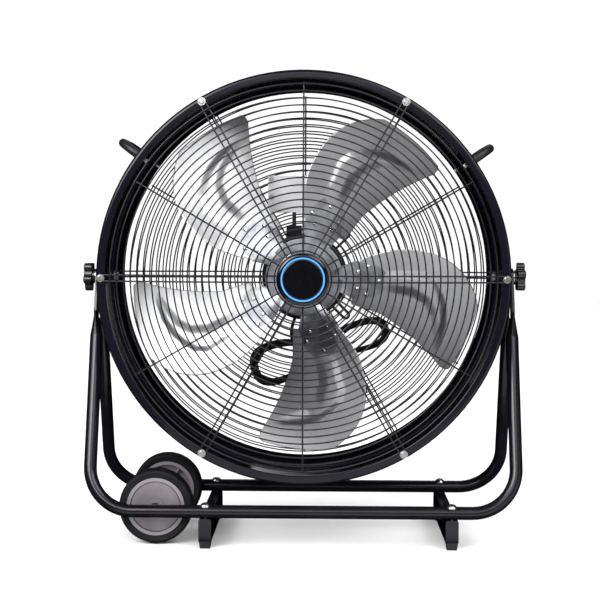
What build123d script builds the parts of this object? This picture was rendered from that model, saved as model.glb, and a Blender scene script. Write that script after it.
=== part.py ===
from build123d import *
import os
from math import atan, cos, hypot, pi, radians, sin, sqrt, tan

# A 24-inch class drum fan: a sheet-steel drum with wire guards, five blades and a motor, hung
# between two bent-tube frames that stand on foot channels, with a pair of wheels at one corner.
# Millimetres, +Z up. The origin is on the floor straight below the pivots. The fan blows to -Y.

os.makedirs("parts", exist_ok=True)

# ---- clearances ----
running_gap = 0.05  # radial, in a bore that turns
seat_gap = 0.3  # between faces of pieces that move against each other
touch_gap = 0.05  # between curved faces that lie together

# ---- drum ----
drum_inner_radius = 331.0
drum_depth = 230.0
drum_sheet = 1.2
flange_width = 16.0  # from the inner wall to the outside of the rolled rim
bead_radius = 5.4  # middle line of the rolled bead
sheet_bend = 2.5
groove_depth = 4.4
front_groove_middle = -34.0
front_groove_width = 26.0
rear_groove_middle = 100.0
rear_groove_width = 16.0

# ---- pivots and clamp knobs ----
drum_clearance = 32.95  # under the rim, above the bottom tubes
pivot_bolt_diameter = 8.0
bolt_flange_diameter = 18.0
bolt_flange_thickness = 1.6
bolt_hex = 13.0
bolt_head_height = 5.2
spacer_diameter = 28.0
spacer_flange_diameter = 36.0
spacer_flange_thickness = 4.0
washer_diameter = 24.0
washer_thickness = 2.0
knob_neck_diameter = 25.0
knob_neck_length = 4.5
knob_thickness = 13.5
knob_core_radius = 17.0
knob_lobe_radius = 7.5
knob_lobe_circle = 18.5
knob_lobes = 5
knob_wall = 3.5  # left over the end of the bolt

# ---- stand ----
tube_diameter = 22.0
tube_wall = 1.5
tube_bend_radius = 75.0
stand_spread = 121.0  # from the pivots' plane to the bottom tubes
stand_side_gap = 1.5  # between the side tubes and the drum's rim
strap_thickness = 4.0
strap_width = 32.0
strap_length = 63.0
flattening_length = 45.0

# ---- foot channels and feet ----
channel_width = 21.6
channel_wall = 1.8
channel_height = 38.0
channel_corner = 4.0
channel_overhang = 10.0  # past the tubes' middle lines
foot_height = 12.0
foot_length = 24.0
foot_plug_height = 9.0
foot_taper = 9.0  # degrees
left_channel_inset = 196.5  # from the stand's upright on the same side
right_channel_inset = 109.5
bracket_bolt_diameter = 6.0
bracket_bolt_head = 18.0
bracket_bolt_dome = 4.5
bracket_bolt_skirt = 1.6
bracket_nut_hex = 10.0
bracket_nut_height = 5.0

# ---- wheels ----
wheel_radius = 62.5
wheel_lift = 1.9  # the feet carry the fan
wheel_width = 38.0
wheel_inset = 110.5  # from the stand's left upright
wheel_offset = 84.0  # from the pivots' plane to each wheel's middle
rim_outer_radius = 49.0
cap_radius = 41.8
rim_groove = 1.2
cap_thickness = 2.4
cap_recess = 1.2
wheel_hub_radius = 14.0
wheel_web = 6.0
rim_ribs = 6
axle_diameter = 10.0
axle_head_hex = 19.0
axle_head_height = 8.0
axle_spacer_diameter = 15.0

# ---- handles ----
left_handle_angle = 143.5  # from +X, seen from the front
right_handle_angle = 35.0
handle_span = 160.0
handle_reach = 53.0  # from the drum to the grip's middle line
handle_rod = 15.0
handle_bend = 34.0
handle_foot_diameter = 22.0
handle_foot_height = 5.0
handle_screw_diameter = 5.0
handle_screw_length = 22.0
handle_screw_head = 10.0
handle_screw_head_height = 3.0

# ---- guards ----
spoke_wire = 2.8
ring_wire = 2.4
ring_pitch = 12.0
ring_edge_gap = 8.0  # the least, from the last ring's middle line to the drum's inner wall
first_ring_radius = 47.0
front_dome = 34.0
rear_dome = 22.0
dome_kink_radius = 60.0
hairpin_half_width = 5.15
guard_screw_offset = 7.5  # from the drum's inner wall to the guard screws
spoke_inner_radius = 30.0
guard_screw_diameter = 4.0
guard_screw_head = 9.5
guard_screw_head_height = 3.2
guard_washer_diameter = 13.4
guard_washer_thickness = 1.1
guard_nut_diameter = 6.8
guard_nut_height = 2.6
hub_plate_radius = 43.0
hub_plate_thickness = 1.5

# ---- badge ----
badge_base_radius = 44.5
badge_base_depth = 8.9
badge_stud_radius = 5.0
badge_tail_radius = 8.0
badge_tail_height = 2.0
bezel_outer_radius = 43.0
bezel_depth = 4.0
badge_ring_outer = 36.4
badge_ring_inner = 32.6
badge_ring_depth = 3.6
badge_disc_depth = 4.5

# ---- blades and spider ----
blade_count = 5
first_blade_angle = 69.5
blade_middle_y = -34.0
blade_sheet = 1.8
blade_reach = 190.0  # half the width of the sheet that each blade is cut from
blade_tip_corner = 14.0
blade_tip_gap = 25.0  # to the drum's inner wall
blade_flat_radius = 146.0  # the blade is flat inside this radius
blade_inner_radius = 86.0
root_pitch = 34.0  # degrees
# the blade's sections outside the flat: distance inside the tip, pitch, camber
outer_pitches = ((106.0, 31.0, 5.0), (52.0, 27.0, 8.5), (-4.0, 23.0, 9.0))
blade_round_width = 54.0  # from the blade's middle line to its round edge
blade_root_round = 30.0
blade_root_straight = 43.0
blade_arm_straight = 57.0  # the straight edge's distance from the middle line, at three places
blade_mid_straight = 102.0
blade_tip_straight = 160.0
blade_tip_start = 34.0  # where the tip circle begins, on the straight edge's side
spider_sheet = 2.0
spider_disc_radius = 66.0
spider_cup_radius = 40.0
spider_cup_depth = 5.0
arm_root_radius = 52.0
arm_root_pitch = 6.0
arm_tip_radius = 145.0
arm_root_half_width = 17.0
arm_half_width = 33.0
rivet_diameter = 5.0
rivet_head = 9.0
rivet_head_height = 2.2
rivet_tail_height = 1.4
rivet_places = ((130.0, 0.0), (109.5, 25.0), (109.5, -25.0), (93.0, 15.0), (93.0, -15.0))  # radius, side

# ---- motor ----
shaft_diameter = 12.0
shaft_front_y = -50.0
shaft_rear_inset = 6.1  # inside the motor's rear face
shaft_shoulder_radius = 9.0
collar_diameter = 38.0
collar_length = 30.0
set_screw_diameter = 6.0
motor_radius = 76.0
motor_length = 90.1
motor_joint_inset = 45.1  # from the motor's rear face to the joint of its halves
motor_wall = 2.5
motor_corner = 7.0
bearing_radius = 16.0
bearing_width = 10.0
bearing_inset = 4.0  # from each end of the motor
bearing_boss_radius = 22.0
stator_length = 50.0
stator_inner_radius = 38.0
air_gap = 0.6
winding_inner_radius = 43.0
winding_outer_radius = 66.0
winding_length = 11.0
vent_count = 10
vent_middle_radius = 55.0
vent_length = 20.0
vent_width = 7.0
mount_plate_thickness = 3.5
mount_plate_radius = 72.0
mount_wire = 5.0
mount_wire_end_radius = 112.0
mount_wire_start_radius = 62.0
mount_wire_half_width = 6.0
mount_weld_depth = 0.38  # of the wires in the plate
mount_bolt_circle = 55.0
mount_bolt_diameter = 6.0
mount_bolt_hex = 10.0
mount_bolt_head_height = 3.2
mount_bolt_length = 9.0
lead_x = -20.0
lead_inset = 29.1  # from the motor's rear face
lead_diameter = 7.0
lead_entry_width = 28.0
lead_entry_depth = 22.0
lead_entry_top = 90.0  # above the fan's axis

# ---- control box, heights above the fan's axis ----
box_width = 134.0
box_bottom = 114.0
box_height = 66.0
box_guard_gap = 0.55  # from the rear guard's spokes at the box's upper corners
box_depth = 41.4
box_wall = 2.0
box_post = 8.0
plate_thickness = 1.2
plate_screw_heights = (141.0, 174.0)
plate_screw_length = 12.0
cover_width = 104.0
cover_bottom = 116.0
cover_height = 52.0
cover_depth = 14.0
cover_gap = 0.4  # behind the guard's rings
cover_screw_x = 42.0
cover_screw_height = 130.4  # between two rings of the guard
switch_x = -25.0
switch_height = 146.9
switch_diameter = 30.0
switch_depth = 24.0
switch_shaft_diameter = 6.0
speed_knob_diameter = 36.0
speed_knob_thickness = 11.0
capacitor_x = 30.0
capacitor_height = 140.0
capacitor_diameter = 32.0
capacitor_length = 50.0
relief_x = 25.0
relief_length = 27.0
relief_root_diameter = 11.2
relief_tip_diameter = 8.4
relief_neck_diameter = 9.0

# ---- cord ----
cord_diameter = 6.0
hank_loops = 3
hank_pitch = 7.0  # from one layer to the next
hank_tilt = 17.6  # degrees, up to the right
hank_x = 25.0
hank_drop = 140.8  # below the fan's axis
hank_front_y = 143.0
hank_strand_offset = 4.0  # of the two strands in the tie
hank_waist = 12.0  # half the straight stretch through the tie
tie_width = 9.0
tie_thickness = 1.2
plug_length = 30.0
plug_width = 25.0
plug_depth = 20.0
plug_neck_diameter = 11.0
plug_neck_length = 10.0
plug_corner = 6.0
plug_edge = 2.0
plug_pin_length = 17.0
plug_pin_spacing = 12.7
plug_blade_width = 6.3
plug_blade_thickness = 1.6
plug_earth_offset = 7.0
plug_earth_diameter = 4.8
plug_earth_length = 19.0

# ---- places worked out from the sizes ----
half_depth = drum_depth / 2
barrel_middle = drum_inner_radius + drum_sheet / 2
barrel_outer = drum_inner_radius + drum_sheet
tube_radius = tube_diameter / 2
channel_top = foot_height + channel_height
tube_height = channel_top + touch_gap + tube_radius
rim_radius = drum_inner_radius + flange_width
pivot_height = tube_height + tube_radius + drum_clearance + rim_radius
stand_half_width = rim_radius + stand_side_gap + tube_radius
left_channel_x = left_channel_inset - stand_half_width
right_channel_x = stand_half_width - right_channel_inset
channel_places = (left_channel_x, right_channel_x)
wheel_x = wheel_inset - stand_half_width
stand_rise = pivot_height - tube_height
stand_slope = hypot(stand_spread, stand_rise)
strap_shift = (strap_thickness + seat_gap) / 2
strap_inner_x = stand_half_width - strap_shift - strap_thickness / 2
strap_outer_x = stand_half_width + strap_shift + strap_thickness / 2
washer_inner_x = strap_outer_x + seat_gap
knob_inner_x = washer_inner_x + washer_thickness + seat_gap
knob_outer_x = knob_inner_x + knob_neck_length + knob_thickness
bolt_end_x = knob_outer_x - knob_wall - 1.0
pivot_bore = pivot_bolt_diameter / 2 + running_gap
axle_height = wheel_radius + wheel_lift
channel_half_length = stand_spread + channel_overhang
dome_foot = drum_inner_radius + sheet_bend
hairpin_screw_radius = drum_inner_radius + guard_screw_offset
ring_count = int((drum_inner_radius - ring_edge_gap - first_ring_radius) / ring_pitch) + 1
last_ring_radius = first_ring_radius + ring_pitch * (ring_count - 1)
blade_tip_radius = drum_inner_radius - blade_tip_gap

fan_centre = Vector(0, 0, pivot_height)
fan_axis = Axis((0, 0, pivot_height), (0, 1, 0))
fan_section = Plane.XY.offset(pivot_height)  # local x is the radius, local y the depth
wheel_axis = Axis((wheel_x, 0, axle_height), (0, 1, 0))
wheel_section = Plane(origin=(wheel_x, 0, axle_height), x_dir=(1, 0, 0), z_dir=(0, 0, 1))


def fan_point(angle, radius, y, side=0.0):
    """A place about the fan's axis: an angle above +X, a radius, a depth and a step to the side."""
    a = radians(angle)
    x = radius * cos(a) - side * sin(a)
    z = radius * sin(a) + side * cos(a)
    return Vector(x, y, pivot_height + z)


def radial_plane(angle):
    """Plane through the fan's axis: local x runs outwards at the angle, local y along the depth."""
    a = radians(angle)
    return Plane(origin=fan_centre, x_dir=(cos(a), 0, sin(a)), z_dir=(-sin(a), 0, cos(a)))


def along_y(x, y, z):
    """Plane square to the depth, with its normal towards the rear."""
    return Plane(origin=(x, y, z), x_dir=(1, 0, 0), z_dir=(0, 1, 0))


def along_x(x, side):
    """Plane square to the pivots' line at x, with its normal outwards on that side."""
    return Plane(origin=(side * x, 0, pivot_height), x_dir=(0, 1, 0), z_dir=(side, 0, 0))


# ================= stand =================
def frame_plane(side):
    """Plane of one tube frame: local x along the pivots' line, local y up the slope to the pivots."""
    up = Vector(0, -side * stand_spread, stand_rise).normalized()
    normal = Vector(1, 0, 0).cross(up)
    return Plane(origin=(0, side * stand_spread, tube_height), x_dir=(1, 0, 0), z_dir=normal)


flattening_start = stand_slope - strap_length - flattening_length
flattening_end = stand_slope - strap_length
bracket_bolt_places = [(x, y) for x in channel_places for y in (-stand_spread, stand_spread)]


def bend_frame(side, strap_offset):
    """One U tube: bent, pressed flat at both ends, drilled for the pivots and the bracket bolts."""
    plane = frame_plane(side)
    up = plane.y_dir
    with BuildPart() as frame:
        with BuildLine(plane) as path:
            FilletPolyline(
                (-stand_half_width, flattening_start),
                (-stand_half_width, 0),
                (stand_half_width, 0),
                (stand_half_width, flattening_start),
                radius=tube_bend_radius,
            )
        with BuildSketch(Plane(origin=path.line @ 0, x_dir=(1, 0, 0), z_dir=path.line % 0)):
            Circle(tube_radius)
            Circle(tube_radius - tube_wall, mode=Mode.SUBTRACT)
        sweep()
        for end in (-1, 1):
            strap_x = end * (stand_half_width + strap_offset)
            round_place = plane.from_local_coords((end * stand_half_width, flattening_start, 0))
            flat_place = plane.from_local_coords((strap_x, flattening_end, 0))
            round_end = Plane(origin=round_place, x_dir=plane.z_dir, z_dir=up)
            flat_end = Plane(origin=flat_place, x_dir=plane.z_dir, z_dir=up)
            with BuildSketch(round_end):
                Circle(tube_radius)
            with BuildSketch(flat_end):
                Ellipse(strap_width / 2, strap_thickness / 2)
            loft()
            with BuildSketch(round_end):
                Circle(tube_radius - tube_wall)
            with BuildSketch(flat_end):
                Ellipse(strap_width / 2 - 2 * tube_wall, strap_thickness / 8)
            loft(mode=Mode.SUBTRACT)
            strap_face = Vector(strap_x - strap_thickness / 2, 0, pivot_height)
            with BuildSketch(Plane(origin=strap_face, x_dir=-up, z_dir=(1, 0, 0))):
                with Locations((strap_length / 2, 0)):
                    SlotCenterToCenter(strap_length, strap_width)
                Circle(pivot_bore, mode=Mode.SUBTRACT)
            extrude(amount=strap_thickness)
        with BuildSketch(Plane.XY.offset(tube_height)):
            for x in channel_places:
                with Locations((x, side * stand_spread)):
                    Circle(bracket_bolt_diameter / 2 + touch_gap)
        extrude(amount=tube_diameter, both=True, mode=Mode.SUBTRACT)
        # The axle is seated blind in the front tube and passes right through the rear one.
        drill_from = -stand_spread if side < 0 else stand_spread - tube_diameter
        with BuildSketch(along_y(wheel_x, drill_from, axle_height)):
            Circle(axle_diameter / 2 + touch_gap)
        extrude(amount=tube_diameter if side < 0 else 2 * tube_diameter, mode=Mode.SUBTRACT)
    return frame


stand_tube_front = bend_frame(-1, strap_shift)
stand_tube_front.part.label = "stand_tube_front"
export_step(stand_tube_front.part, "parts/stand_tube_front.step")

stand_tube_rear = bend_frame(1, -strap_shift)
stand_tube_rear.part.label = "stand_tube_rear"
export_step(stand_tube_rear.part, "parts/stand_tube_rear.step")

# Foot channels: pressed sheet, open below, closed at both ends.
channel_middle = foot_height + channel_height / 2
for channel_name, channel_x in zip(("foot_channel_left", "foot_channel_right"), channel_places):
    with BuildPart() as foot_channel:
        with BuildSketch(along_y(channel_x, -channel_half_length, channel_middle)) as end_face:
            Rectangle(channel_width, channel_height)
            fillet(end_face.vertices().group_by(Axis.Y)[0], channel_corner)
        extrude(amount=2 * channel_half_length)
        underside = foot_channel.faces().sort_by(Axis.Z)[0]
        offset(amount=-channel_wall, openings=underside)
        with BuildSketch(Plane.XY.offset(channel_top)):
            with Locations((channel_x, -stand_spread), (channel_x, stand_spread)):
                Circle(bracket_bolt_diameter / 2 + touch_gap)
        extrude(amount=-2 * channel_wall, mode=Mode.SUBTRACT)
    foot_channel.part.label = channel_name
    export_step(foot_channel.part, f"parts/{channel_name}.step")

foot_inset = channel_half_length - foot_length / 2
with BuildPart() as rubber_feet:
    foot_places = [(x, y) for x in (left_channel_x, right_channel_x) for y in (-foot_inset, foot_inset)]
    with BuildSketch(Plane.XY.offset(foot_height)):
        with Locations(*foot_places):
            RectangleRounded(channel_width - 1.0, foot_length, 3.0)
    extrude(amount=-foot_height, taper=foot_taper)
    with BuildSketch(Plane.XY.offset(foot_height)):
        with Locations(*foot_places):
            Rectangle(
                channel_width - 2 * channel_wall - 2 * touch_gap,
                foot_length - 2 * channel_wall - 2 * touch_gap,
            )
    extrude(amount=foot_plug_height)
rubber_feet.part.label = "rubber_feet"
export_step(rubber_feet.part, "parts/rubber_feet.step")

# One dome-head bolt, its underside hollowed to sit on the tube, and its nut inside the channel.
tube_top = tube_height + tube_radius
bolt_head_radius = bracket_bolt_head / 2
dome_height = bracket_bolt_dome + bracket_bolt_skirt
dome_radius = (bolt_head_radius**2 + dome_height**2) / (2 * dome_height)
dome_middle = tube_top + bracket_bolt_dome - dome_radius
bolt_length = tube_diameter + channel_wall + bracket_nut_height + 2.0
with BuildPart() as bracket_bolt:
    with BuildSketch(Plane.XZ):
        with BuildLine():
            ThreePointArc(
                (bolt_head_radius, tube_top - bracket_bolt_skirt),
                (bolt_head_radius / 2, dome_middle + sqrt(dome_radius**2 - bolt_head_radius**2 / 4)),
                (0, tube_top + bracket_bolt_dome),
            )
            Polyline(
                (0, tube_top + bracket_bolt_dome),
                (0, tube_top - 2 * bracket_bolt_skirt),
                (bolt_head_radius, tube_top - 2 * bracket_bolt_skirt),
                (bolt_head_radius, tube_top - bracket_bolt_skirt),
            )
        make_face()
    revolve(axis=Axis.Z)
    with BuildSketch(Plane.YZ.offset(-bracket_bolt_head)):
        with Locations((0, tube_height)):
            Circle(tube_radius + touch_gap)
    extrude(amount=2 * bracket_bolt_head, mode=Mode.SUBTRACT)
    with BuildSketch(Plane.XY.offset(tube_top + bracket_bolt_dome / 2)):
        Circle(bracket_bolt_diameter / 2)
    extrude(amount=-(bolt_length + bracket_bolt_dome / 2))
with BuildPart() as bracket_nut:
    with BuildSketch(Plane.XY.offset(channel_top - channel_wall)):
        RegularPolygon(bracket_nut_hex / 2, 6, major_radius=False)
        Circle(bracket_bolt_diameter / 2, mode=Mode.SUBTRACT)
    extrude(amount=-bracket_nut_height)
with BuildPart() as bracket_bolts:
    with Locations(*bracket_bolt_places):
        add(bracket_bolt.part)
        add(bracket_nut.part)
bracket_bolts.part.label = "bracket_bolts"
export_step(bracket_bolts.part, "parts/bracket_bolts.step")

# ================= wheels =================
axle_rear_y = stand_spread + tube_radius + touch_gap
with BuildPart() as wheel_axle:
    with BuildSketch(along_y(wheel_x, -stand_spread, axle_height)):
        Circle(axle_diameter / 2)
    extrude(amount=stand_spread + axle_rear_y)
    with BuildSketch(along_y(wheel_x, axle_rear_y, axle_height)):
        RegularPolygon(axle_head_hex / 2, 6, major_radius=False)
    extrude(amount=axle_head_height)
    chamfer(wheel_axle.faces().sort_by(Axis.Y)[-1].edges(), 1.0)
wheel_axle.part.label = "wheel_axle"
export_step(wheel_axle.part, "parts/wheel_axle.step")

hub_half = wheel_width / 2 + 0.3
tube_wheel_side = stand_spread - tube_radius - touch_gap
with BuildPart() as axle_spacers:
    spacer_runs = (
        (-tube_wheel_side, -wheel_offset - hub_half - seat_gap),
        (-wheel_offset + hub_half + seat_gap, wheel_offset - hub_half - seat_gap),
        (wheel_offset + hub_half + seat_gap, tube_wheel_side),
    )
    for start_y, end_y in spacer_runs:
        with BuildSketch(along_y(wheel_x, start_y, axle_height)):
            Circle(axle_spacer_diameter / 2)
            Circle(axle_diameter / 2 + touch_gap, mode=Mode.SUBTRACT)
        extrude(amount=end_y - start_y)
axle_spacers.part.label = "axle_spacers"
export_step(axle_spacers.part, "parts/axle_spacers.step")

half_width = wheel_width / 2
rim_half = half_width - 2.0
axle_bore = axle_diameter / 2 + running_gap
for wheel_name, wheel_y, outer_side in (("front_wheel", -wheel_offset, -1), ("rear_wheel", wheel_offset, 1)):
    cap_face = wheel_y + outer_side * (rim_half - cap_recess)
    with BuildPart() as wheel_rim:
        with BuildSketch(wheel_section):
            ring_middle = (rim_outer_radius + cap_radius + rim_groove) / 2
            with Locations((ring_middle, wheel_y)):
                Rectangle(rim_outer_radius - cap_radius - rim_groove, 2 * rim_half)
            with Locations(((cap_radius + 2.0 + wheel_hub_radius) / 2, wheel_y)):
                Rectangle(cap_radius + 2.0 - wheel_hub_radius, wheel_web)
            with Locations(((wheel_hub_radius + 1.0 + axle_bore) / 2, wheel_y)):
                Rectangle(wheel_hub_radius + 1.0 - axle_bore, 2 * hub_half)
            with BuildLine():
                back = cap_face - outer_side * cap_thickness
                Polyline(
                    (cap_radius, cap_face - outer_side * 0.6),
                    (cap_radius, back),
                    (wheel_hub_radius, back),
                    (wheel_hub_radius, cap_face),
                )
                ThreePointArc(
                    (wheel_hub_radius, cap_face),
                    ((wheel_hub_radius + cap_radius) / 2, cap_face + outer_side * 0.6),
                    (cap_radius, cap_face - outer_side * 0.6),
                )
            make_face()
        revolve(axis=wheel_axis)
        rib_depth = rim_half - cap_recess - cap_thickness
        with BuildSketch(along_y(wheel_x, wheel_y - rib_depth, axle_height)):
            with PolarLocations((wheel_hub_radius + cap_radius) / 2 + 1.0, rim_ribs):
                Rectangle(cap_radius - wheel_hub_radius + 2.0, 3.0)
        extrude(amount=2 * rib_depth)
    wheel_rim.part.label = f"{wheel_name}_rim"
    export_step(wheel_rim.part, f"parts/{wheel_name}_rim.step")

    with BuildPart() as wheel_tyre:
        with BuildSketch(wheel_section):
            with BuildLine():
                shoulder = wheel_radius - 4.5
                Polyline(
                    (shoulder, wheel_y - half_width),
                    (rim_outer_radius, wheel_y - rim_half),
                    (rim_outer_radius, wheel_y + rim_half),
                    (shoulder, wheel_y + half_width),
                )
                ThreePointArc(
                    (shoulder, wheel_y + half_width),
                    (wheel_radius - 1.3, wheel_y + 0.86 * half_width),
                    (wheel_radius - 0.6, wheel_y + 0.6 * half_width),
                )
                ThreePointArc(
                    (wheel_radius - 0.6, wheel_y + 0.6 * half_width),
                    (wheel_radius, wheel_y),
                    (wheel_radius - 0.6, wheel_y - 0.6 * half_width),
                )
                ThreePointArc(
                    (wheel_radius - 0.6, wheel_y - 0.6 * half_width),
                    (wheel_radius - 1.3, wheel_y - 0.86 * half_width),
                    (shoulder, wheel_y - half_width),
                )
            make_face()
        revolve(axis=wheel_axis)
    wheel_tyre.part.label = f"{wheel_name}_tyre"
    export_step(wheel_tyre.part, f"parts/{wheel_name}_tyre.step")

# ================= drum =================
flange_plane = half_depth - drum_sheet / 2
bead_middle = rim_radius - bead_radius - drum_sheet / 2


def groove(middle, width):
    """Four corners of a groove pressed outwards into the barrel, front to rear."""
    flank = 0.8 * groove_depth
    deep = barrel_middle + groove_depth
    return [
        (barrel_middle, middle - width / 2),
        (deep, middle - width / 2 + flank),
        (deep, middle + width / 2 - flank),
        (barrel_middle, middle + width / 2),
    ]


with BuildPart() as drum_shell:
    with BuildSketch(fan_section):
        with BuildLine():
            with BuildLine(mode=Mode.PRIVATE) as sheet_line:
                FilletPolyline(
                    (bead_middle, -flange_plane),
                    (barrel_middle, -flange_plane),
                    *groove(front_groove_middle, front_groove_width),
                    *groove(rear_groove_middle, rear_groove_width),
                    (barrel_middle, flange_plane),
                    (bead_middle, flange_plane),
                    radius=sheet_bend,
                )
                for end in (-1, 1):
                    ThreePointArc(
                        (bead_middle, end * flange_plane),
                        (bead_middle + bead_radius, end * (flange_plane - bead_radius)),
                        (bead_middle, end * (flange_plane - 2 * bead_radius)),
                    )
            offset(sheet_line.wire(), amount=drum_sheet / 2, side=Side.BOTH)
        make_face()
    revolve(axis=fan_axis)
    with BuildSketch(Plane(origin=fan_centre, x_dir=(0, 1, 0), z_dir=(1, 0, 0))):
        Circle(pivot_bolt_diameter / 2 + touch_gap)
    extrude(amount=rim_radius, both=True, mode=Mode.SUBTRACT)
    for angle in (left_handle_angle, right_handle_angle):
        outward = radial_plane(angle).x_dir
        with BuildSketch(Plane(origin=fan_centre, x_dir=(0, 1, 0), z_dir=outward)):
            with Locations((-handle_span / 2, 0), (handle_span / 2, 0)):
                Circle(handle_screw_diameter / 2 + touch_gap)
        extrude(amount=rim_radius, mode=Mode.SUBTRACT)
    for end in (-1, 1):
        with BuildSketch(along_y(0, end * (half_depth + drum_sheet), pivot_height)):
            with PolarLocations(hairpin_screw_radius, 6):
                Circle(guard_screw_diameter / 2 + touch_gap)
        extrude(amount=-end * 3 * drum_sheet, mode=Mode.SUBTRACT)
drum_shell.part.label = "drum_shell"
export_step(drum_shell.part, "parts/drum_shell.step")

with BuildPart() as pivot_spacers:
    for side in (-1, 1):
        with BuildSketch(along_x(drum_inner_radius - 2.0, side)):
            Circle(spacer_diameter / 2)
            Circle(pivot_bolt_diameter / 2 + touch_gap, mode=Mode.SUBTRACT)
        extrude(amount=strap_inner_x - seat_gap - drum_inner_radius + 2.0)
        with BuildSketch(along_x(drum_inner_radius - 2.0, side)):
            Circle(spacer_flange_diameter / 2)
            Circle(pivot_bolt_diameter / 2 + touch_gap, mode=Mode.SUBTRACT)
        extrude(amount=spacer_flange_thickness + drum_sheet + 2.0)
    with BuildSketch(along_y(0, -half_depth, pivot_height)):
        Circle(barrel_outer + touch_gap)
    extrude(amount=drum_depth, mode=Mode.SUBTRACT)
pivot_spacers.part.label = "pivot_spacers"
export_step(pivot_spacers.part, "parts/pivot_spacers.step")

bolt_seat_x = drum_inner_radius - 0.2
with BuildPart() as pivot_bolts:
    for side in (-1, 1):
        with BuildSketch(along_x(bolt_seat_x - bolt_flange_thickness, side)):
            Circle(bolt_flange_diameter / 2)
        extrude(amount=bolt_flange_thickness)
        with BuildSketch(along_x(bolt_seat_x - bolt_flange_thickness, side)):
            RegularPolygon(bolt_hex / 2, 6, major_radius=False)
        extrude(amount=-(bolt_head_height - bolt_flange_thickness))
        with BuildSketch(along_x(bolt_seat_x, side)):
            Circle(pivot_bolt_diameter / 2)
        extrude(amount=bolt_end_x - bolt_seat_x)
pivot_bolts.part.label = "pivot_bolts"
export_step(pivot_bolts.part, "parts/pivot_bolts.step")

for side_name, side in (("left", -1), ("right", 1)):
    with BuildPart() as clamp_washer:
        with BuildSketch(along_x(washer_inner_x, side)):
            Circle(washer_diameter / 2)
            Circle(pivot_bore, mode=Mode.SUBTRACT)
        extrude(amount=washer_thickness)
    clamp_washer.part.label = f"clamp_washer_{side_name}"
    export_step(clamp_washer.part, f"parts/clamp_washer_{side_name}.step")

    with BuildPart() as clamp_knob:
        with BuildSketch(along_x(knob_inner_x, side)):
            Circle(knob_neck_diameter / 2)
        extrude(amount=knob_neck_length)
        with BuildSketch(along_x(knob_inner_x + knob_neck_length, side)) as star:
            Circle(knob_core_radius)
            with PolarLocations(knob_lobe_circle, knob_lobes, start_angle=90):
                Circle(knob_lobe_radius)
            fillet(star.vertices(), 3.0)
        extrude(amount=knob_thickness)
        fillet(clamp_knob.faces().filter_by(Axis.X).sort_by(Axis.X)[0 if side < 0 else -1].edges(), 3.0)
        with BuildSketch(along_x(knob_inner_x, side)):
            Circle(pivot_bore)
        extrude(amount=knob_outer_x - knob_wall - knob_inner_x, mode=Mode.SUBTRACT)
    clamp_knob.part.label = f"clamp_knob_{side_name}"
    export_step(clamp_knob.part, f"parts/clamp_knob_{side_name}.step")

# ================= handles =================
handle_foot_radius = barrel_outer + touch_gap
for handle_name, angle in (("handle_left", left_handle_angle), ("handle_right", right_handle_angle)):
    plane = radial_plane(angle)
    grip_radius = barrel_outer + handle_reach
    with BuildPart() as handle:
        with BuildLine(plane) as path:
            FilletPolyline(
                (drum_inner_radius - 3.0, -handle_span / 2),
                (grip_radius, -handle_span / 2),
                (grip_radius, handle_span / 2),
                (drum_inner_radius - 3.0, handle_span / 2),
                radius=handle_bend,
            )
        with BuildSketch(Plane(origin=path.line @ 0, z_dir=path.line % 0)):
            Circle(handle_rod / 2)
        sweep()
        foot_plane = Plane(origin=plane.origin, x_dir=(0, 1, 0), z_dir=plane.x_dir)
        with BuildSketch(foot_plane.offset(drum_inner_radius - 3.0)):
            with Locations((-handle_span / 2, 0), (handle_span / 2, 0)):
                Circle(handle_foot_diameter / 2)
        extrude(amount=handle_foot_height + drum_sheet + 3.0)
        with BuildSketch(along_y(0, -half_depth, pivot_height)):
            Circle(handle_foot_radius)
        extrude(amount=drum_depth, mode=Mode.SUBTRACT)
        with BuildSketch(foot_plane):
            with Locations((-handle_span / 2, 0), (handle_span / 2, 0)):
                Circle(handle_screw_diameter / 2)
        extrude(amount=drum_inner_radius + handle_screw_length, mode=Mode.SUBTRACT)
    handle.part.label = handle_name
    export_step(handle.part, f"parts/{handle_name}.step")

with BuildPart() as handle_screws:
    for angle in (left_handle_angle, right_handle_angle):
        outward = radial_plane(angle).x_dir
        seat = Plane(origin=fan_centre, x_dir=(0, 1, 0), z_dir=outward).offset(drum_inner_radius - touch_gap)
        with BuildSketch(seat):
            with Locations((-handle_span / 2, 0), (handle_span / 2, 0)):
                Circle(handle_screw_head / 2)
        extrude(amount=-handle_screw_head_height, taper=20)
        with BuildSketch(seat):
            with Locations((-handle_span / 2, 0), (handle_span / 2, 0)):
                Circle(handle_screw_diameter / 2)
        extrude(amount=handle_screw_length)
handle_screws.part.label = "handle_screws"
export_step(handle_screws.part, "parts/handle_screws.step")


# ================= guards =================
def dome_rise(radius, height):
    """How far the guard stands off its flange: a short arc bends it up, a long one rounds it over."""
    turn = 2 * atan(height / dome_foot)
    meeting = dome_foot - dome_kink_radius * sin(turn)
    if radius >= meeting:
        return dome_kink_radius - sqrt(dome_kink_radius**2 - (dome_foot - radius) ** 2)
    dome_radius = meeting / sin(turn)
    return height - dome_radius + sqrt(dome_radius**2 - radius**2)


def dome_meeting(height):
    """The radius where the two arcs of the dome meet."""
    return dome_foot - dome_kink_radius * sin(2 * atan(height / dome_foot))


spoke_seat = half_depth + spoke_wire / 2
ring_step = (spoke_wire + ring_wire) / 2 + touch_gap

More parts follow.
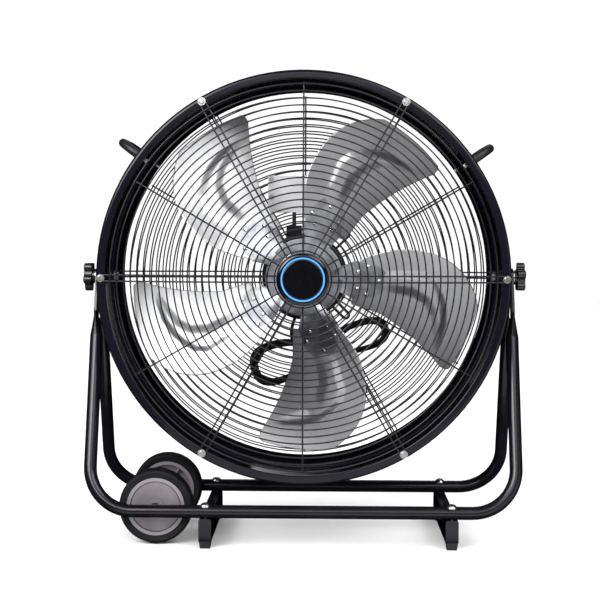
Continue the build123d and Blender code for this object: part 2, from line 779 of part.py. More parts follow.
for guard_name, end, height in (("front_guard", -1, front_dome), ("rear_guard", 1, rear_dome)):

    def spoke_point(angle, radius, side):
        rise = dome_rise(radius, height) if radius < dome_foot else 0.0
        return fan_point(angle, radius, end * (spoke_seat + rise), side)

    def spoke_arcs(angle, outer_radius, side):
        """The two arcs of one spoke, from its outer end to the hub."""
        meeting = dome_meeting(height)
        if outer_radius > meeting:
            ThreePointArc(
                spoke_point(angle, outer_radius, side),
                spoke_point(angle, (outer_radius + meeting) / 2, side),
                spoke_point(angle, meeting, side),
            )
        ThreePointArc(
            spoke_point(angle, meeting, side),
            spoke_point(angle, (meeting + spoke_inner_radius) / 2, side),
            spoke_point(angle, spoke_inner_radius, side),
        )

    with BuildPart() as guard_rings:
        with BuildSketch(fan_section):
            for ring in range(ring_count):
                radius = first_ring_radius + ring_pitch * ring
                with Locations((radius, end * (spoke_seat + dome_rise(radius, height) + ring_step))):
                    Circle(ring_wire / 2)
        revolve(axis=fan_axis)
    guard_rings.part.label = f"{guard_name}_rings"
    export_step(guard_rings.part, f"parts/{guard_name}_rings.step")

    with BuildPart() as guard_spokes:
        for pair in range(6):
            angle = 60 * pair
            with BuildLine() as hairpin:
                for side in (-hairpin_half_width, hairpin_half_width):
                    spoke_arcs(angle, dome_foot, side)
                    Line(spoke_point(angle, dome_foot, side), spoke_point(angle, hairpin_screw_radius, side))
                ThreePointArc(
                    spoke_point(angle, hairpin_screw_radius, -hairpin_half_width),
                    spoke_point(angle, hairpin_screw_radius + hairpin_half_width, 0),
                    spoke_point(angle, hairpin_screw_radius, hairpin_half_width),
                )
            hairpin_wire = hairpin.wires()[0]
            with BuildSketch(Plane(origin=hairpin_wire @ 0, z_dir=hairpin_wire % 0)):
                Circle(spoke_wire / 2)
            sweep(path=hairpin_wire)
            with BuildLine() as single:
                spoke_arcs(angle + 30, last_ring_radius + ring_wire, 0)
            single_wire = single.wires()[0]
            with BuildSketch(Plane(origin=single_wire @ 0, z_dir=single_wire % 0)):
                Circle(spoke_wire / 2)
            sweep(path=single_wire)
    guard_spokes.part.label = f"{guard_name}_spokes"
    export_step(guard_spokes.part, f"parts/{guard_name}_spokes.step")

# ================= hub plate and badge =================
front_spoke_back = spoke_seat + dome_rise(hub_plate_radius, front_dome) - spoke_wire / 2
plate_front_y = -(front_spoke_back - touch_gap)
with BuildPart() as guard_hub_plate:
    with BuildSketch(along_y(0, plate_front_y, pivot_height)):
        Circle(hub_plate_radius)
        Circle(badge_stud_radius + touch_gap, mode=Mode.SUBTRACT)
    extrude(amount=hub_plate_thickness)
guard_hub_plate.part.label = "guard_hub_plate"
export_step(guard_hub_plate.part, "parts/guard_hub_plate.step")

badge_back_y = -(spoke_seat + dome_rise(spoke_inner_radius, front_dome) + spoke_wire / 2 + touch_gap)
badge_seat_y = badge_back_y - badge_base_depth
stud_end_y = plate_front_y + hub_plate_thickness + touch_gap
with BuildPart() as badge_base:
    with BuildSketch(fan_section):
        with BuildLine():
            Polyline(
                (0, badge_seat_y),
                (bezel_outer_radius, badge_seat_y),
                (badge_base_radius, badge_seat_y + 5.0),
                (badge_base_radius, badge_back_y),
                (badge_stud_radius, badge_back_y),
                (badge_stud_radius, stud_end_y),
                (badge_tail_radius, stud_end_y),
                (badge_tail_radius, stud_end_y + badge_tail_height),
                (0, stud_end_y + badge_tail_height),
                close=True,
            )
        make_face()
    revolve(axis=fan_axis)
badge_base.part.label = "badge_base"
export_step(badge_base.part, "parts/badge_base.step")

with BuildPart() as badge_bezel:
    with BuildSketch(fan_section):
        with BuildLine():
            inner = badge_ring_outer + touch_gap
            Polyline(
                (bezel_outer_radius, badge_seat_y - 1.2),
                (bezel_outer_radius, badge_seat_y),
                (inner, badge_seat_y),
                (inner, badge_seat_y - bezel_depth),
            )
            ThreePointArc(
                (inner, badge_seat_y - bezel_depth),
                ((inner + bezel_outer_radius) / 2 + 0.8, badge_seat_y - bezel_depth + 0.5),
                (bezel_outer_radius, badge_seat_y - 1.2),
            )
        make_face()
    revolve(axis=fan_axis)
badge_bezel.part.label = "badge_bezel"
export_step(badge_bezel.part, "parts/badge_bezel.step")

with BuildPart() as badge_ring:
    with BuildSketch(along_y(0, badge_seat_y, pivot_height)):
        Circle(badge_ring_outer)
        Circle(badge_ring_inner, mode=Mode.SUBTRACT)
    extrude(amount=-badge_ring_depth)
badge_ring.part.label = "badge_ring"
export_step(badge_ring.part, "parts/badge_ring.step")

with BuildPart() as badge_disc:
    with BuildSketch(along_y(0, badge_seat_y, pivot_height)):
        Circle(badge_ring_inner - touch_gap)
    extrude(amount=-badge_disc_depth)
    fillet(badge_disc.faces().sort_by(Axis.Y)[0].edges(), 1.2)
badge_disc.part.label = "badge_disc"
export_step(badge_disc.part, "parts/badge_disc.step")


# ================= fan =================
def blade_plane(angle, radius):
    """Plane square to the blade's own radius: local x sideways, local y towards the front."""
    a = radians(angle)
    origin = fan_point(angle, radius, blade_middle_y)
    return Plane(origin=origin, x_dir=(-sin(a), 0, cos(a)), z_dir=(cos(a), 0, sin(a)))


def root_plane(angle):
    """Plane of the blade's flat root: local x outwards from the axis, local y along the chord."""
    a = radians(angle)
    p = radians(root_pitch)
    chord = Vector(-sin(a) * cos(p), -sin(p), cos(a) * cos(p))
    outward = Vector(cos(a), 0, sin(a))
    return Plane(origin=(0, blade_middle_y, pivot_height), x_dir=outward, z_dir=outward.cross(chord))


def outline_plane(angle):
    """Plane in front of the blades: local x along the blade's radius, local y sideways."""
    a = radians(angle)
    origin = (0, blade_middle_y - blade_reach, pivot_height)
    return Plane(origin=origin, x_dir=(cos(a), 0, sin(a)), z_dir=(0, -1, 0))


def sheet_section(half_chord, pitch, camber, front, back):
    """A sheet's section: an arc along the pitched chord, between two depths behind it."""
    p = radians(pitch)

    def place(chord, depth):
        return (chord * cos(p) + depth * sin(p), chord * sin(p) - depth * cos(p))

    with BuildLine(mode=Mode.PRIVATE) as section:
        if camber:
            ThreePointArc(place(-half_chord, front), place(0, front + camber), place(half_chord, front))
        else:
            Line(place(-half_chord, front), place(half_chord, front))
        Line(place(half_chord, front), place(half_chord, back))
        if camber:
            ThreePointArc(place(half_chord, back), place(0, back + camber), place(-half_chord, back))
        else:
            Line(place(half_chord, back), place(-half_chord, back))
        Line(place(-half_chord, back), place(-half_chord, front))
    return section.edges()


def blade_outline():
    """The blade seen from the front: one round edge, the tip circle and one nearly straight edge."""

    def on_tip(side):
        return (sqrt(blade_tip_radius**2 - side**2), side)

    tip_start = on_tip(-blade_tip_start)
    tip_middle = on_tip(-(blade_tip_start + blade_tip_straight) / 2)
    tip_end = on_tip(-blade_tip_straight)
    root_round = (blade_inner_radius + 2.0, blade_root_round)
    root_straight = (blade_inner_radius - 2.0, -blade_root_straight)
    widest_start = (blade_tip_radius - 156.0, blade_round_width + 0.6)
    widest_end = (blade_tip_radius - 101.0, blade_round_width)
    shoulder = (blade_tip_radius - 36.0, (blade_round_width - blade_tip_start) / 2 + 13.5)
    arm_straight = (blade_tip_radius - 172.0, -blade_arm_straight)
    mid_straight = (blade_tip_radius - 106.0, -blade_mid_straight)
    with BuildLine(mode=Mode.PRIVATE) as outline:
        ThreePointArc(root_round, widest_start, widest_end)
        ThreePointArc(widest_end, shoulder, tip_start)
        ThreePointArc(tip_start, tip_middle, tip_end)
        ThreePointArc(tip_end, mid_straight, arm_straight)
        Line(arm_straight, root_straight)
        Line(root_straight, root_round)
    return outline.edges()


pitch_cos = cos(radians(root_pitch))
blade_angles = [first_blade_angle - 360 / blade_count * number for number in range(blade_count)]
rivet_points = [(radius, side / pitch_cos) for radius, side in rivet_places]

for number, angle in enumerate(blade_angles, start=1):
    with BuildPart() as blade:
        for radius in (blade_inner_radius - 12, blade_flat_radius):
            with BuildSketch(blade_plane(angle, radius)):
                make_face(sheet_section(blade_reach, root_pitch, 0, 0, blade_sheet))
        loft(ruled=True)
        with BuildSketch(blade_plane(angle, blade_flat_radius)):
            make_face(sheet_section(blade_reach, root_pitch, 0.01, 0, blade_sheet))
        for inset, pitch, camber in outer_pitches:
            with BuildSketch(blade_plane(angle, blade_tip_radius - inset)):
                make_face(sheet_section(blade_reach, pitch, camber, 0, blade_sheet))
        loft()
        with BuildSketch(outline_plane(angle)) as outline:
            make_face(blade_outline())
            fillet(outline.vertices().sort_by(Axis.Y)[0], blade_tip_corner)
        extrude(amount=-2 * blade_reach, mode=Mode.INTERSECT)
        with BuildSketch(root_plane(angle)):
            with Locations(*rivet_points):
                Circle(rivet_diameter / 2 + touch_gap)
        extrude(amount=3 * blade_sheet, both=True, mode=Mode.SUBTRACT)
    blade.part.label = f"blade_{number}"
    export_step(blade.part, f"parts/blade_{number}.step")

# The spider: a cupped disc welded to its collar, with a twisted arm to each blade.
cup_y = blade_middle_y - spider_cup_depth
arm_half = arm_half_width / pitch_cos
with BuildPart() as spider:
    with BuildSketch(fan_section):
        with BuildLine():
            with BuildLine(mode=Mode.PRIVATE) as cup_line:
                FilletPolyline(
                    (collar_diameter / 2 - 4.0, cup_y),
                    (spider_cup_radius, cup_y),
                    (spider_cup_radius + spider_cup_depth, blade_middle_y),
                    (spider_disc_radius, blade_middle_y),
                    radius=3.0,
                )
            offset(cup_line.wire(), amount=spider_sheet / 2, side=Side.BOTH)
        make_face()
    revolve(axis=fan_axis)
    for angle in blade_angles:
        with BuildSketch(blade_plane(angle, arm_root_radius)):
            root_half = spider_sheet / 2
            make_face(sheet_section(arm_root_half_width, arm_root_pitch, 0, -root_half, root_half))
        with BuildSketch(blade_plane(angle, blade_inner_radius)):
            make_face(sheet_section(arm_half, root_pitch, 0, -spider_sheet - touch_gap, -touch_gap))
        loft(ruled=True)
        with BuildSketch(root_plane(angle).offset(touch_gap)):
            with BuildLine():
                shoulder = arm_tip_radius - arm_half
                Polyline(
                    (shoulder, arm_half * 0.94),
                    (blade_inner_radius, arm_half),
                    (blade_inner_radius, -arm_half),
                    (shoulder, -arm_half * 0.94),
                )
                ThreePointArc((shoulder, -arm_half * 0.94), (arm_tip_radius, 0), (shoulder, arm_half * 0.94))
            make_face()
        extrude(amount=spider_sheet)
        with BuildSketch(root_plane(angle)):
            with Locations(*rivet_points):
                Circle(rivet_diameter / 2 + touch_gap)
        extrude(amount=3 * spider_sheet, both=True, mode=Mode.SUBTRACT)
    with BuildSketch(along_y(0, cup_y - spider_sheet / 2, pivot_height)):
        Circle(collar_diameter / 2)
        Circle(shaft_diameter / 2 + touch_gap, mode=Mode.SUBTRACT)
    extrude(amount=collar_length)
    with BuildSketch(Plane.XY.offset(pivot_height)):
        with Locations((0, cup_y + collar_length - 10.0)):
            Circle(set_screw_diameter / 2)
    extrude(amount=collar_diameter, mode=Mode.SUBTRACT)
spider.part.label = "spider"
export_step(spider.part, "parts/spider.step")

with BuildPart() as blade_rivets:
    for angle in blade_angles:
        face = root_plane(angle)
        with BuildSketch(face.offset(spider_sheet + 2 * touch_gap)):
            with Locations(*rivet_points):
                Circle(rivet_head / 2)
        extrude(amount=rivet_head_height, taper=35)
        with BuildSketch(face.offset(spider_sheet + 2 * touch_gap)):
            with Locations(*rivet_points):
                Circle(rivet_diameter / 2)
        extrude(amount=-(spider_sheet + 3 * touch_gap + blade_sheet))
        with BuildSketch(face.offset(-blade_sheet - touch_gap)):
            with Locations(*rivet_points):
                Circle(rivet_head / 2 - 0.8)
        extrude(amount=-rivet_tail_height, taper=20)
blade_rivets.part.label = "blade_rivets"
export_step(blade_rivets.part, "parts/blade_rivets.step")

# ================= motor =================
# The motor hangs on wires that rest against one ring of the rear guard.
mount_ring_y = spoke_seat + dome_rise(mount_wire_end_radius, rear_dome) + ring_step
mount_wire_y = mount_ring_y - ring_wire / 2 - touch_gap - mount_wire / 2
mount_rear_y = mount_wire_y - mount_wire / 2 + mount_weld_depth
mount_front_y = mount_rear_y - mount_plate_thickness
motor_rear_y = mount_front_y - touch_gap
motor_joint_y = motor_rear_y - motor_joint_inset
motor_front_y = motor_rear_y - motor_length
shaft_rear_y = motor_rear_y - shaft_rear_inset
lead_y = motor_rear_y - lead_inset
housing_inner = motor_radius - motor_wall
shaft_hole = shaft_diameter / 2 + 2.0
bearing_seat = bearing_radius + touch_gap
motor_halves = ((-1, "motor_housing_front", motor_front_y), (1, "motor_housing_rear", motor_rear_y))
for end, housing_name, outer_y in motor_halves:
    joint_y = motor_joint_y + end * touch_gap
    inner_y = outer_y - end * motor_wall
    seat_y = outer_y - end * (bearing_inset - touch_gap)
    boss_y = outer_y - end * (bearing_inset + bearing_width)
    corner_y = outer_y - end * motor_corner
    bend = motor_corner * cos(pi / 4)
    with BuildPart() as housing:
        with BuildSketch(fan_section):
            with BuildLine():
                Polyline(
                    (motor_radius, corner_y),
                    (motor_radius, joint_y),
                    (housing_inner, joint_y),
                    (housing_inner, inner_y),
                    (bearing_boss_radius, inner_y),
                    (bearing_boss_radius, boss_y),
                    (bearing_seat, boss_y),
                    (bearing_seat, seat_y),
                    (shaft_hole, seat_y),
                    (shaft_hole, outer_y),
                    (motor_radius - motor_corner, outer_y),
                )
                ThreePointArc(
                    (motor_radius - motor_corner, outer_y),
                    (motor_radius - motor_corner + bend, corner_y + end * bend),
                    (motor_radius, corner_y),
                )
            make_face()
        revolve(axis=fan_axis)
        if end > 0:
            # The cable entry stands on the rear half and is drilled through to the inside.
            with BuildSketch(Plane.XY.offset(pivot_height + lead_entry_top)):
                with Locations((lead_x, lead_y)):
                    RectangleRounded(lead_entry_width, lead_entry_depth, 3.0)
            extrude(amount=motor_radius * 0.86 - lead_entry_top)
            with BuildSketch(along_y(0, joint_y, pivot_height)):
                Circle(housing_inner)
                Circle(bearing_boss_radius, mode=Mode.SUBTRACT)
            extrude(amount=inner_y - joint_y, mode=Mode.SUBTRACT)
            with BuildSketch(Plane.XY.offset(pivot_height + lead_entry_top)):
                with Locations((lead_x, lead_y)):
                    Circle(lead_diameter / 2 + touch_gap)
            extrude(amount=-(lead_entry_top - motor_radius * 0.86), mode=Mode.SUBTRACT)
            with BuildSketch(along_y(0, outer_y + 1.0, pivot_height)):
                with PolarLocations(mount_bolt_circle, 4):
                    Circle(mount_bolt_diameter / 2 + touch_gap)
            extrude(amount=-2 * motor_wall, mode=Mode.SUBTRACT)
        else:
            with BuildSketch(along_y(0, outer_y - 1.0, pivot_height)):
                with PolarLocations(vent_middle_radius, vent_count, start_angle=9):
                    SlotOverall(vent_length, vent_width)
            extrude(amount=2 * motor_wall, mode=Mode.SUBTRACT)
    housing.part.label = housing_name
    export_step(housing.part, f"parts/{housing_name}.step")

stator_middle_y = (motor_front_y + motor_rear_y) / 2
stator_front_y = stator_middle_y - stator_length / 2
stator_rear_y = stator_middle_y + stator_length / 2
with BuildPart() as stator:
    with BuildSketch(along_y(0, stator_front_y, pivot_height)):
        Circle(housing_inner - touch_gap)
        Circle(stator_inner_radius, mode=Mode.SUBTRACT)
    extrude(amount=stator_length)
stator.part.label = "stator"
export_step(stator.part, "parts/stator.step")

with BuildPart() as windings:
    for side, face_y in ((-1, stator_front_y), (1, stator_rear_y)):
        with BuildSketch(fan_section) as winding_end:
            with Locations(
                (
                    (winding_inner_radius + winding_outer_radius) / 2,
                    face_y + side * (winding_length / 2 + touch_gap),
                )
            ):
                RectangleRounded(winding_outer_radius - winding_inner_radius, winding_length, 4.0)
        revolve(axis=fan_axis)
windings.part.label = "windings"
export_step(windings.part, "parts/windings.step")

bearing_front_y = motor_front_y + bearing_inset
bearing_rear_y = motor_rear_y - bearing_inset - bearing_width
with BuildPart() as bearings:
    for front_y in (bearing_front_y, bearing_rear_y):
        with BuildSketch(along_y(0, front_y, pivot_height)):
            Circle(bearing_radius)
            Circle(shaft_diameter / 2 + running_gap, mode=Mode.SUBTRACT)
        extrude(amount=bearing_width)
bearings.part.label = "bearings"
export_step(bearings.part, "parts/bearings.step")

shoulder_front_y = bearing_front_y + bearing_width + seat_gap
shoulder_rear_y = bearing_rear_y - seat_gap
with BuildPart() as rotor:
    with BuildSketch(fan_section):
        with BuildLine():
            Polyline(
                (0, shaft_front_y),
                (shaft_diameter / 2, shaft_front_y),
                (shaft_diameter / 2, shoulder_front_y),
                (shaft_shoulder_radius, shoulder_front_y),
                (shaft_shoulder_radius, stator_front_y),
                (stator_inner_radius - air_gap, stator_front_y),
                (stator_inner_radius - air_gap, stator_rear_y),
                (shaft_shoulder_radius, stator_rear_y),
                (shaft_shoulder_radius, shoulder_rear_y),
                (shaft_diameter / 2, shoulder_rear_y),
                (shaft_diameter / 2, shaft_rear_y),
                (0, shaft_rear_y),
                close=True,
            )
        make_face()
    revolve(axis=fan_axis)
    chamfer(rotor.faces().sort_by(Axis.Y)[0].edges(), 1.0)
rotor.part.label = "rotor"
export_step(rotor.part, "parts/rotor.step")

with BuildPart() as motor_mount:
    with BuildSketch(along_y(0, mount_front_y, pivot_height)):
        Circle(mount_plate_radius)
        Circle(shaft_hole, mode=Mode.SUBTRACT)
        with PolarLocations(mount_bolt_circle, 4):
            Circle(mount_bolt_diameter / 2 + touch_gap, mode=Mode.SUBTRACT)
    extrude(amount=mount_plate_thickness)
    for angle in (45, 135, 225, 315):
        straight_end = mount_wire_end_radius - mount_wire_half_width
        with BuildLine() as loop:
            Line(
                fan_point(angle, mount_wire_start_radius, mount_wire_y, -mount_wire_half_width),
                fan_point(angle, straight_end, mount_wire_y, -mount_wire_half_width),
            )
            ThreePointArc(
                fan_point(angle, straight_end, mount_wire_y, -mount_wire_half_width),
                fan_point(angle, mount_wire_end_radius, mount_wire_y, 0),
                fan_point(angle, straight_end, mount_wire_y, mount_wire_half_width),
            )
            Line(
                fan_point(angle, straight_end, mount_wire_y, mount_wire_half_width),
                fan_point(angle, mount_wire_start_radius, mount_wire_y, mount_wire_half_width),
            )
        loop_wire = loop.wires()[0]
        with BuildSketch(Plane(origin=loop_wire @ 0, z_dir=loop_wire % 0)):
            Circle(mount_wire / 2)
        sweep(path=loop_wire)
motor_mount.part.label = "motor_mount"
export_step(motor_mount.part, "parts/motor_mount.step")

with BuildPart() as motor_bolts:
    with BuildSketch(along_y(0, mount_rear_y, pivot_height)):
        with PolarLocations(mount_bolt_circle, 4):
            RegularPolygon(mount_bolt_hex / 2, 6, major_radius=False)
    extrude(amount=mount_bolt_head_height)
    with BuildSketch(along_y(0, mount_rear_y, pivot_height)):
        with PolarLocations(mount_bolt_circle, 4):
            Circle(mount_bolt_diameter / 2)
    extrude(amount=-mount_bolt_length)
motor_bolts.part.label = "motor_bolts"
export_step(motor_bolts.part, "parts/motor_bolts.step")

with BuildPart() as motor_lead:
    with BuildSketch(Plane.XY.offset(pivot_height + lead_entry_top - 10.0)):
        with Locations((lead_x, lead_y)):
            Circle(lead_diameter / 2)
    extrude(amount=box_bottom + box_wall + 5.0 - lead_entry_top + 10.0)
motor_lead.part.label = "motor_lead"
export_step(motor_lead.part, "parts/motor_lead.step")

# ================= controls =================
box_corner_radius = hypot(box_width / 2, box_bottom + box_height)
box_rear_y = spoke_seat + dome_rise(box_corner_radius, rear_dome) - spoke_wire / 2 - box_guard_gap
box_front_y = box_rear_y - box_depth
box_middle_z = pivot_height + box_bottom + box_height / 2
post_x = box_width / 2 - box_wall - box_post / 2
cover_screws = [(-cover_screw_x, cover_screw_height), (cover_screw_x, cover_screw_height)]
plate_screws = [(x, height) for x in (-post_x, post_x) for height in plate_screw_heights]


def above_axis(places):
    """Places given as x and a height above the axis, for sketches on a plane made by along_y."""
    return [(x, -height) for x, height in places]


with BuildPart() as control_box:
    with BuildSketch(along_y(0, box_front_y, box_middle_z)):
        RectangleRounded(box_width, box_height, 4.0)
    extrude(amount=box_depth)
    offset(amount=-box_wall, openings=control_box.faces().sort_by(Axis.Y)[0])
    with BuildSketch(along_y(0, box_front_y, pivot_height)):
        with Locations(*above_axis(plate_screws)):
            Rectangle(box_post + 0.4, box_post)
            Circle(guard_screw_diameter / 2 + touch_gap, mode=Mode.SUBTRACT)
    extrude(amount=box_depth - box_wall / 2)
    with BuildSketch(along_y(0, box_rear_y + 1.0, pivot_height)):
        with Locations(*above_axis([(switch_x, switch_height)])):
            Circle(switch_shaft_diameter / 2 + 1.0)
        with Locations(*above_axis(cover_screws)):
            Circle(guard_screw_diameter / 2 + touch_gap)
    extrude(amount=-3 * box_wall, mode=Mode.SUBTRACT)
    with BuildSketch(Plane.XY.offset(pivot_height + box_bottom - 1.0)):
        with Locations((lead_x, lead_y)):
            Circle(lead_diameter / 2 + touch_gap)
    extrude(amount=3 * box_wall, mode=Mode.SUBTRACT)
control_box.part.label = "control_box"
export_step(control_box.part, "parts/control_box.step")

plate_rear_y = box_front_y - touch_gap
with BuildPart() as control_plate:
    with BuildSketch(along_y(0, plate_rear_y, box_middle_z)):
        RectangleRounded(box_width, box_height, 4.0)
    extrude(amount=-plate_thickness)
    with BuildSketch(along_y(0, plate_rear_y, pivot_height)):
        with Locations(*above_axis(plate_screws)):
            Circle(guard_screw_diameter / 2 + touch_gap)
    extrude(amount=-plate_thickness, mode=Mode.SUBTRACT)
control_plate.part.label = "control_plate"
export_step(control_plate.part, "parts/control_plate.step")

cover_ring_radius = first_ring_radius + 6 * ring_pitch
rear_ring_back = spoke_seat + dome_rise(cover_ring_radius, rear_dome) + ring_step + ring_wire / 2
cover_front_y = rear_ring_back + cover_gap
cover_rear_y = cover_front_y + cover_depth
relief_y = cover_front_y + relief_root_diameter / 2 + 0.3
with BuildPart() as switch_cover:
    with BuildSketch(along_y(0, cover_front_y, pivot_height + cover_bottom + cover_height / 2)):
        RectangleRounded(cover_width, cover_height, 6.0)
    extrude(amount=cover_depth)
    fillet(switch_cover.faces().sort_by(Axis.Y)[-1].edges(), 2.5)
    with BuildSketch(along_y(0, cover_front_y, pivot_height + cover_bottom + cover_height / 2)):
        RectangleRounded(cover_width - 2 * box_wall, cover_height - 2 * box_wall, 4.0)
    extrude(amount=cover_depth - box_wall, mode=Mode.SUBTRACT)
    with BuildSketch(along_y(0, cover_front_y, pivot_height)):
        with Locations(*above_axis(cover_screws)):
            Circle(guard_screw_diameter / 2 + box_wall)
    extrude(amount=cover_depth - box_wall / 2)
    with BuildSketch(along_y(0, cover_front_y, pivot_height)):
        with Locations(*above_axis(cover_screws)):
            Circle(guard_screw_diameter / 2 + touch_gap)
        with Locations(*above_axis([(switch_x, switch_height)])):
            Circle(switch_shaft_diameter / 2 + 1.0)
    extrude(amount=cover_depth, mode=Mode.SUBTRACT)
    with BuildSketch(Plane.XY.offset(pivot_height + cover_bottom - 1.0)):
        with Locations((relief_x, relief_y)):
            Circle(relief_neck_diameter / 2 + touch_gap)
    extrude(amount=3 * box_wall, mode=Mode.SUBTRACT)
switch_cover.part.label = "switch_cover"
export_step(switch_cover.part, "parts/switch_cover.step")

# Pan-head screws: of the guards, with their washers and nuts, of the plate and of the cover.
washer_seat = half_depth + spoke_wire + touch_gap
screw_seat = washer_seat + guard_washer_thickness
guard_screw_length = screw_seat - half_depth + drum_sheet + guard_nut_height + 0.6
cover_screw_length = cover_rear_y - box_rear_y + box_wall + 2.0
with BuildPart() as pan_screws:
    for end in (-1, 1):
        with BuildSketch(along_y(0, end * screw_seat, pivot_height)):
            with PolarLocations(hairpin_screw_radius, 6):
                Circle(guard_screw_head / 2)
        extrude(amount=end * guard_screw_head_height, taper=18)
        with BuildSketch(along_y(0, end * screw_seat, pivot_height)):
            with PolarLocations(hairpin_screw_radius, 6):
                Circle(guard_screw_diameter / 2)
        extrude(amount=-end * guard_screw_length)
        with BuildSketch(along_y(0, end * washer_seat, pivot_height)):
            with PolarLocations(hairpin_screw_radius, 6):
                Circle(guard_washer_diameter / 2)
                Circle(guard_screw_diameter / 2 + touch_gap, mode=Mode.SUBTRACT)
        extrude(amount=end * guard_washer_thickness)
        with BuildSketch(along_y(0, end * (half_depth - drum_sheet - touch_gap), pivot_height)):
            with PolarLocations(hairpin_screw_radius, 6):
                RegularPolygon(guard_nut_diameter / 2, 6)
                Circle(guard_screw_diameter / 2 + touch_gap / 2, mode=Mode.SUBTRACT)
        extrude(amount=-end * guard_nut_height)
    plate_front_face = plate_rear_y - plate_thickness
    for places, end, seat_y, length in (
        (plate_screws, -1, plate_front_face, plate_screw_length),
        (cover_screws, 1, cover_rear_y, cover_screw_length),
    ):
        with BuildSketch(along_y(0, seat_y, pivot_height)):
            with Locations(*above_axis(places)):
                Circle(guard_screw_head / 2)
        extrude(amount=end * guard_screw_head_height, taper=18)
        with BuildSketch(along_y(0, seat_y, pivot_height)):
            with Locations(*above_axis(places)):
                Circle(guard_screw_diameter / 2)
        extrude(amount=-end * length)
pan_screws.part.label = "pan_screws"
export_step(pan_screws.part, "parts/pan_screws.step")

switch_z = pivot_height + switch_height
knob_front_y = cover_rear_y + seat_gap
knob_rear_y = knob_front_y + speed_knob_thickness
with BuildPart() as rotary_switch:
    with BuildSketch(along_y(switch_x, box_rear_y - box_wall - touch_gap, switch_z)):
        Circle(switch_diameter / 2)
    extrude(amount=-switch_depth)
    with BuildSketch(along_y(switch_x, box_rear_y - box_wall - 1.0, switch_z)):
        Circle(switch_shaft_diameter / 2)
    extrude(amount=knob_rear_y - box_rear_y + box_wall + 1.0 - 3.0)
rotary_switch.part.label = "rotary_switch"
export_step(rotary_switch.part, "parts/rotary_switch.step")

with BuildPart() as speed_knob:
    with BuildSketch(along_y(switch_x, knob_front_y, switch_z)):
        Circle(speed_knob_diameter / 2)
    extrude(amount=speed_knob_thickness / 2, taper=4)
    with BuildSketch(along_y(switch_x, knob_front_y, switch_z)):
        Rectangle(9.0, speed_knob_diameter - 6.0)
    extrude(amount=speed_knob_thickness, taper=4)
    with BuildSketch(along_y(switch_x, knob_front_y, switch_z)):
        Circle(switch_shaft_diameter / 2 + running_gap)
    extrude(amount=speed_knob_thickness - 2.5, mode=Mode.SUBTRACT)
speed_knob.part.label = "speed_knob"
export_step(speed_knob.part, "parts/speed_knob.step")

capacitor_y = box_rear_y - box_wall - touch_gap - capacitor_diameter / 2
with BuildPart() as capacitor:
    with BuildSketch(Plane.YZ.offset(capacitor_x - capacitor_length / 2)):
        with Locations((capacitor_y, pivot_height + capacitor_height)):
            Circle(capacitor_diameter / 2)
    extrude(amount=capacitor_length)
    fillet(capacitor.edges().filter_by(GeomType.CIRCLE), 2.0)
capacitor.part.label = "capacitor"
export_step(capacitor.part, "parts/capacitor.step")

# ================= cord =================
# The lead drops from the cover to a hank that is tied to a ring of the rear guard.
relief_top = pivot_height + cover_bottom + box_wall
cord_radius = cord_diameter / 2
with BuildPart() as strain_relief:
    with BuildSketch(Plane(origin=(relief_x, relief_y, relief_top), x_dir=(1, 0, 0), z_dir=(0, -1, 0))):
        with BuildLine():
            under = -box_wall - touch_gap
            Polyline(
                (cord_radius + touch_gap, 2.0),
                (relief_root_diameter / 2 - 0.5, 2.0),
                (relief_root_diameter / 2 - 0.5, touch_gap),
                (relief_neck_diameter / 2, touch_gap),
                (relief_neck_diameter / 2, under),
                (relief_root_diameter / 2, under),
                (relief_tip_diameter / 2, under - relief_length),
                (cord_radius + touch_gap, under - relief_length),
                close=True,
            )
        make_face()
    revolve(axis=Axis((relief_x, relief_y, relief_top), (0, 0, 1)))
strain_relief.part.label = "strain_relief"
export_step(strain_relief.part, "parts/strain_relief.step")


def hank_point(along, across, layer):
    """A place on the hank: along and across its own length, and how many layers off the guard."""
    tilt = radians(hank_tilt)
    x = hank_x + along * cos(tilt) - across * sin(tilt)
    z = pivot_height - hank_drop + along * sin(tilt) + across * cos(tilt)
    return Vector(x, hank_front_y + hank_pitch * layer, z)


def bend_radii(points):
    """The largest bend that each corner's two runs allow, less a little straight between bends."""
    radii = []
    for before, corner, after in zip(points, points[1:], points[2:]):
        arrive = corner - before
        leave = after - corner
        half_turn = radians(arrive.get_angle(leave)) / 2
        radii.append(0.45 * min(arrive.length, leave.length) / tan(half_turn))
    return radii


# The lead's route, then the hank's: it starts in the middle of the lead's last run.
lead_points = [
    Vector(relief_x, relief_y, relief_top + 8.0),
    Vector(relief_x, relief_y, pivot_height + 59.0),
    Vector(relief_x - 13.0, relief_y + 5.0, pivot_height - 5.0),
    Vector(relief_x - 37.0, relief_y + 17.0, pivot_height - 62.0),
]
crossing = hank_point(-45.0, 43.0, hank_loops + 1.0)
lead_end = (lead_points[-1] + crossing) / 2
lead_points.append(lead_end)

hank_points = [
    lead_end,
    crossing,
    hank_point(-38.0, 6.0, hank_loops + 0.9),
]
for loop in range(hank_loops):
    layer = hank_loops - loop
    right_end = 135.0 - 4.5 * loop
    left_end = 130.0 - 5.5 * loop
    right_half = 27.0 - 3.0 * loop
    left_half = 39.0 - 4.5 * loop
    hank_points += [
        hank_point(-hank_waist, -hank_strand_offset, layer),
        hank_point(hank_waist, -hank_strand_offset, layer),
        hank_point(52.0, -right_half, layer),
        hank_point(right_end, -right_half, layer),
        hank_point(right_end - 1.0, right_half, layer),
        hank_point(53.0, right_half + 1.0, layer),
        hank_point(hank_waist, hank_strand_offset, layer),
        hank_point(-hank_waist, hank_strand_offset, layer),
        hank_point(-50.0, left_half, layer),
        hank_point(-left_end, left_half - 2.0, layer),
        hank_point(-left_end - 1.0, -left_half + 1.0, layer),
        hank_point(-51.0, -left_half, layer),
    ]
tail_front = hank_point(0.0, 0.0, 0.0).Y
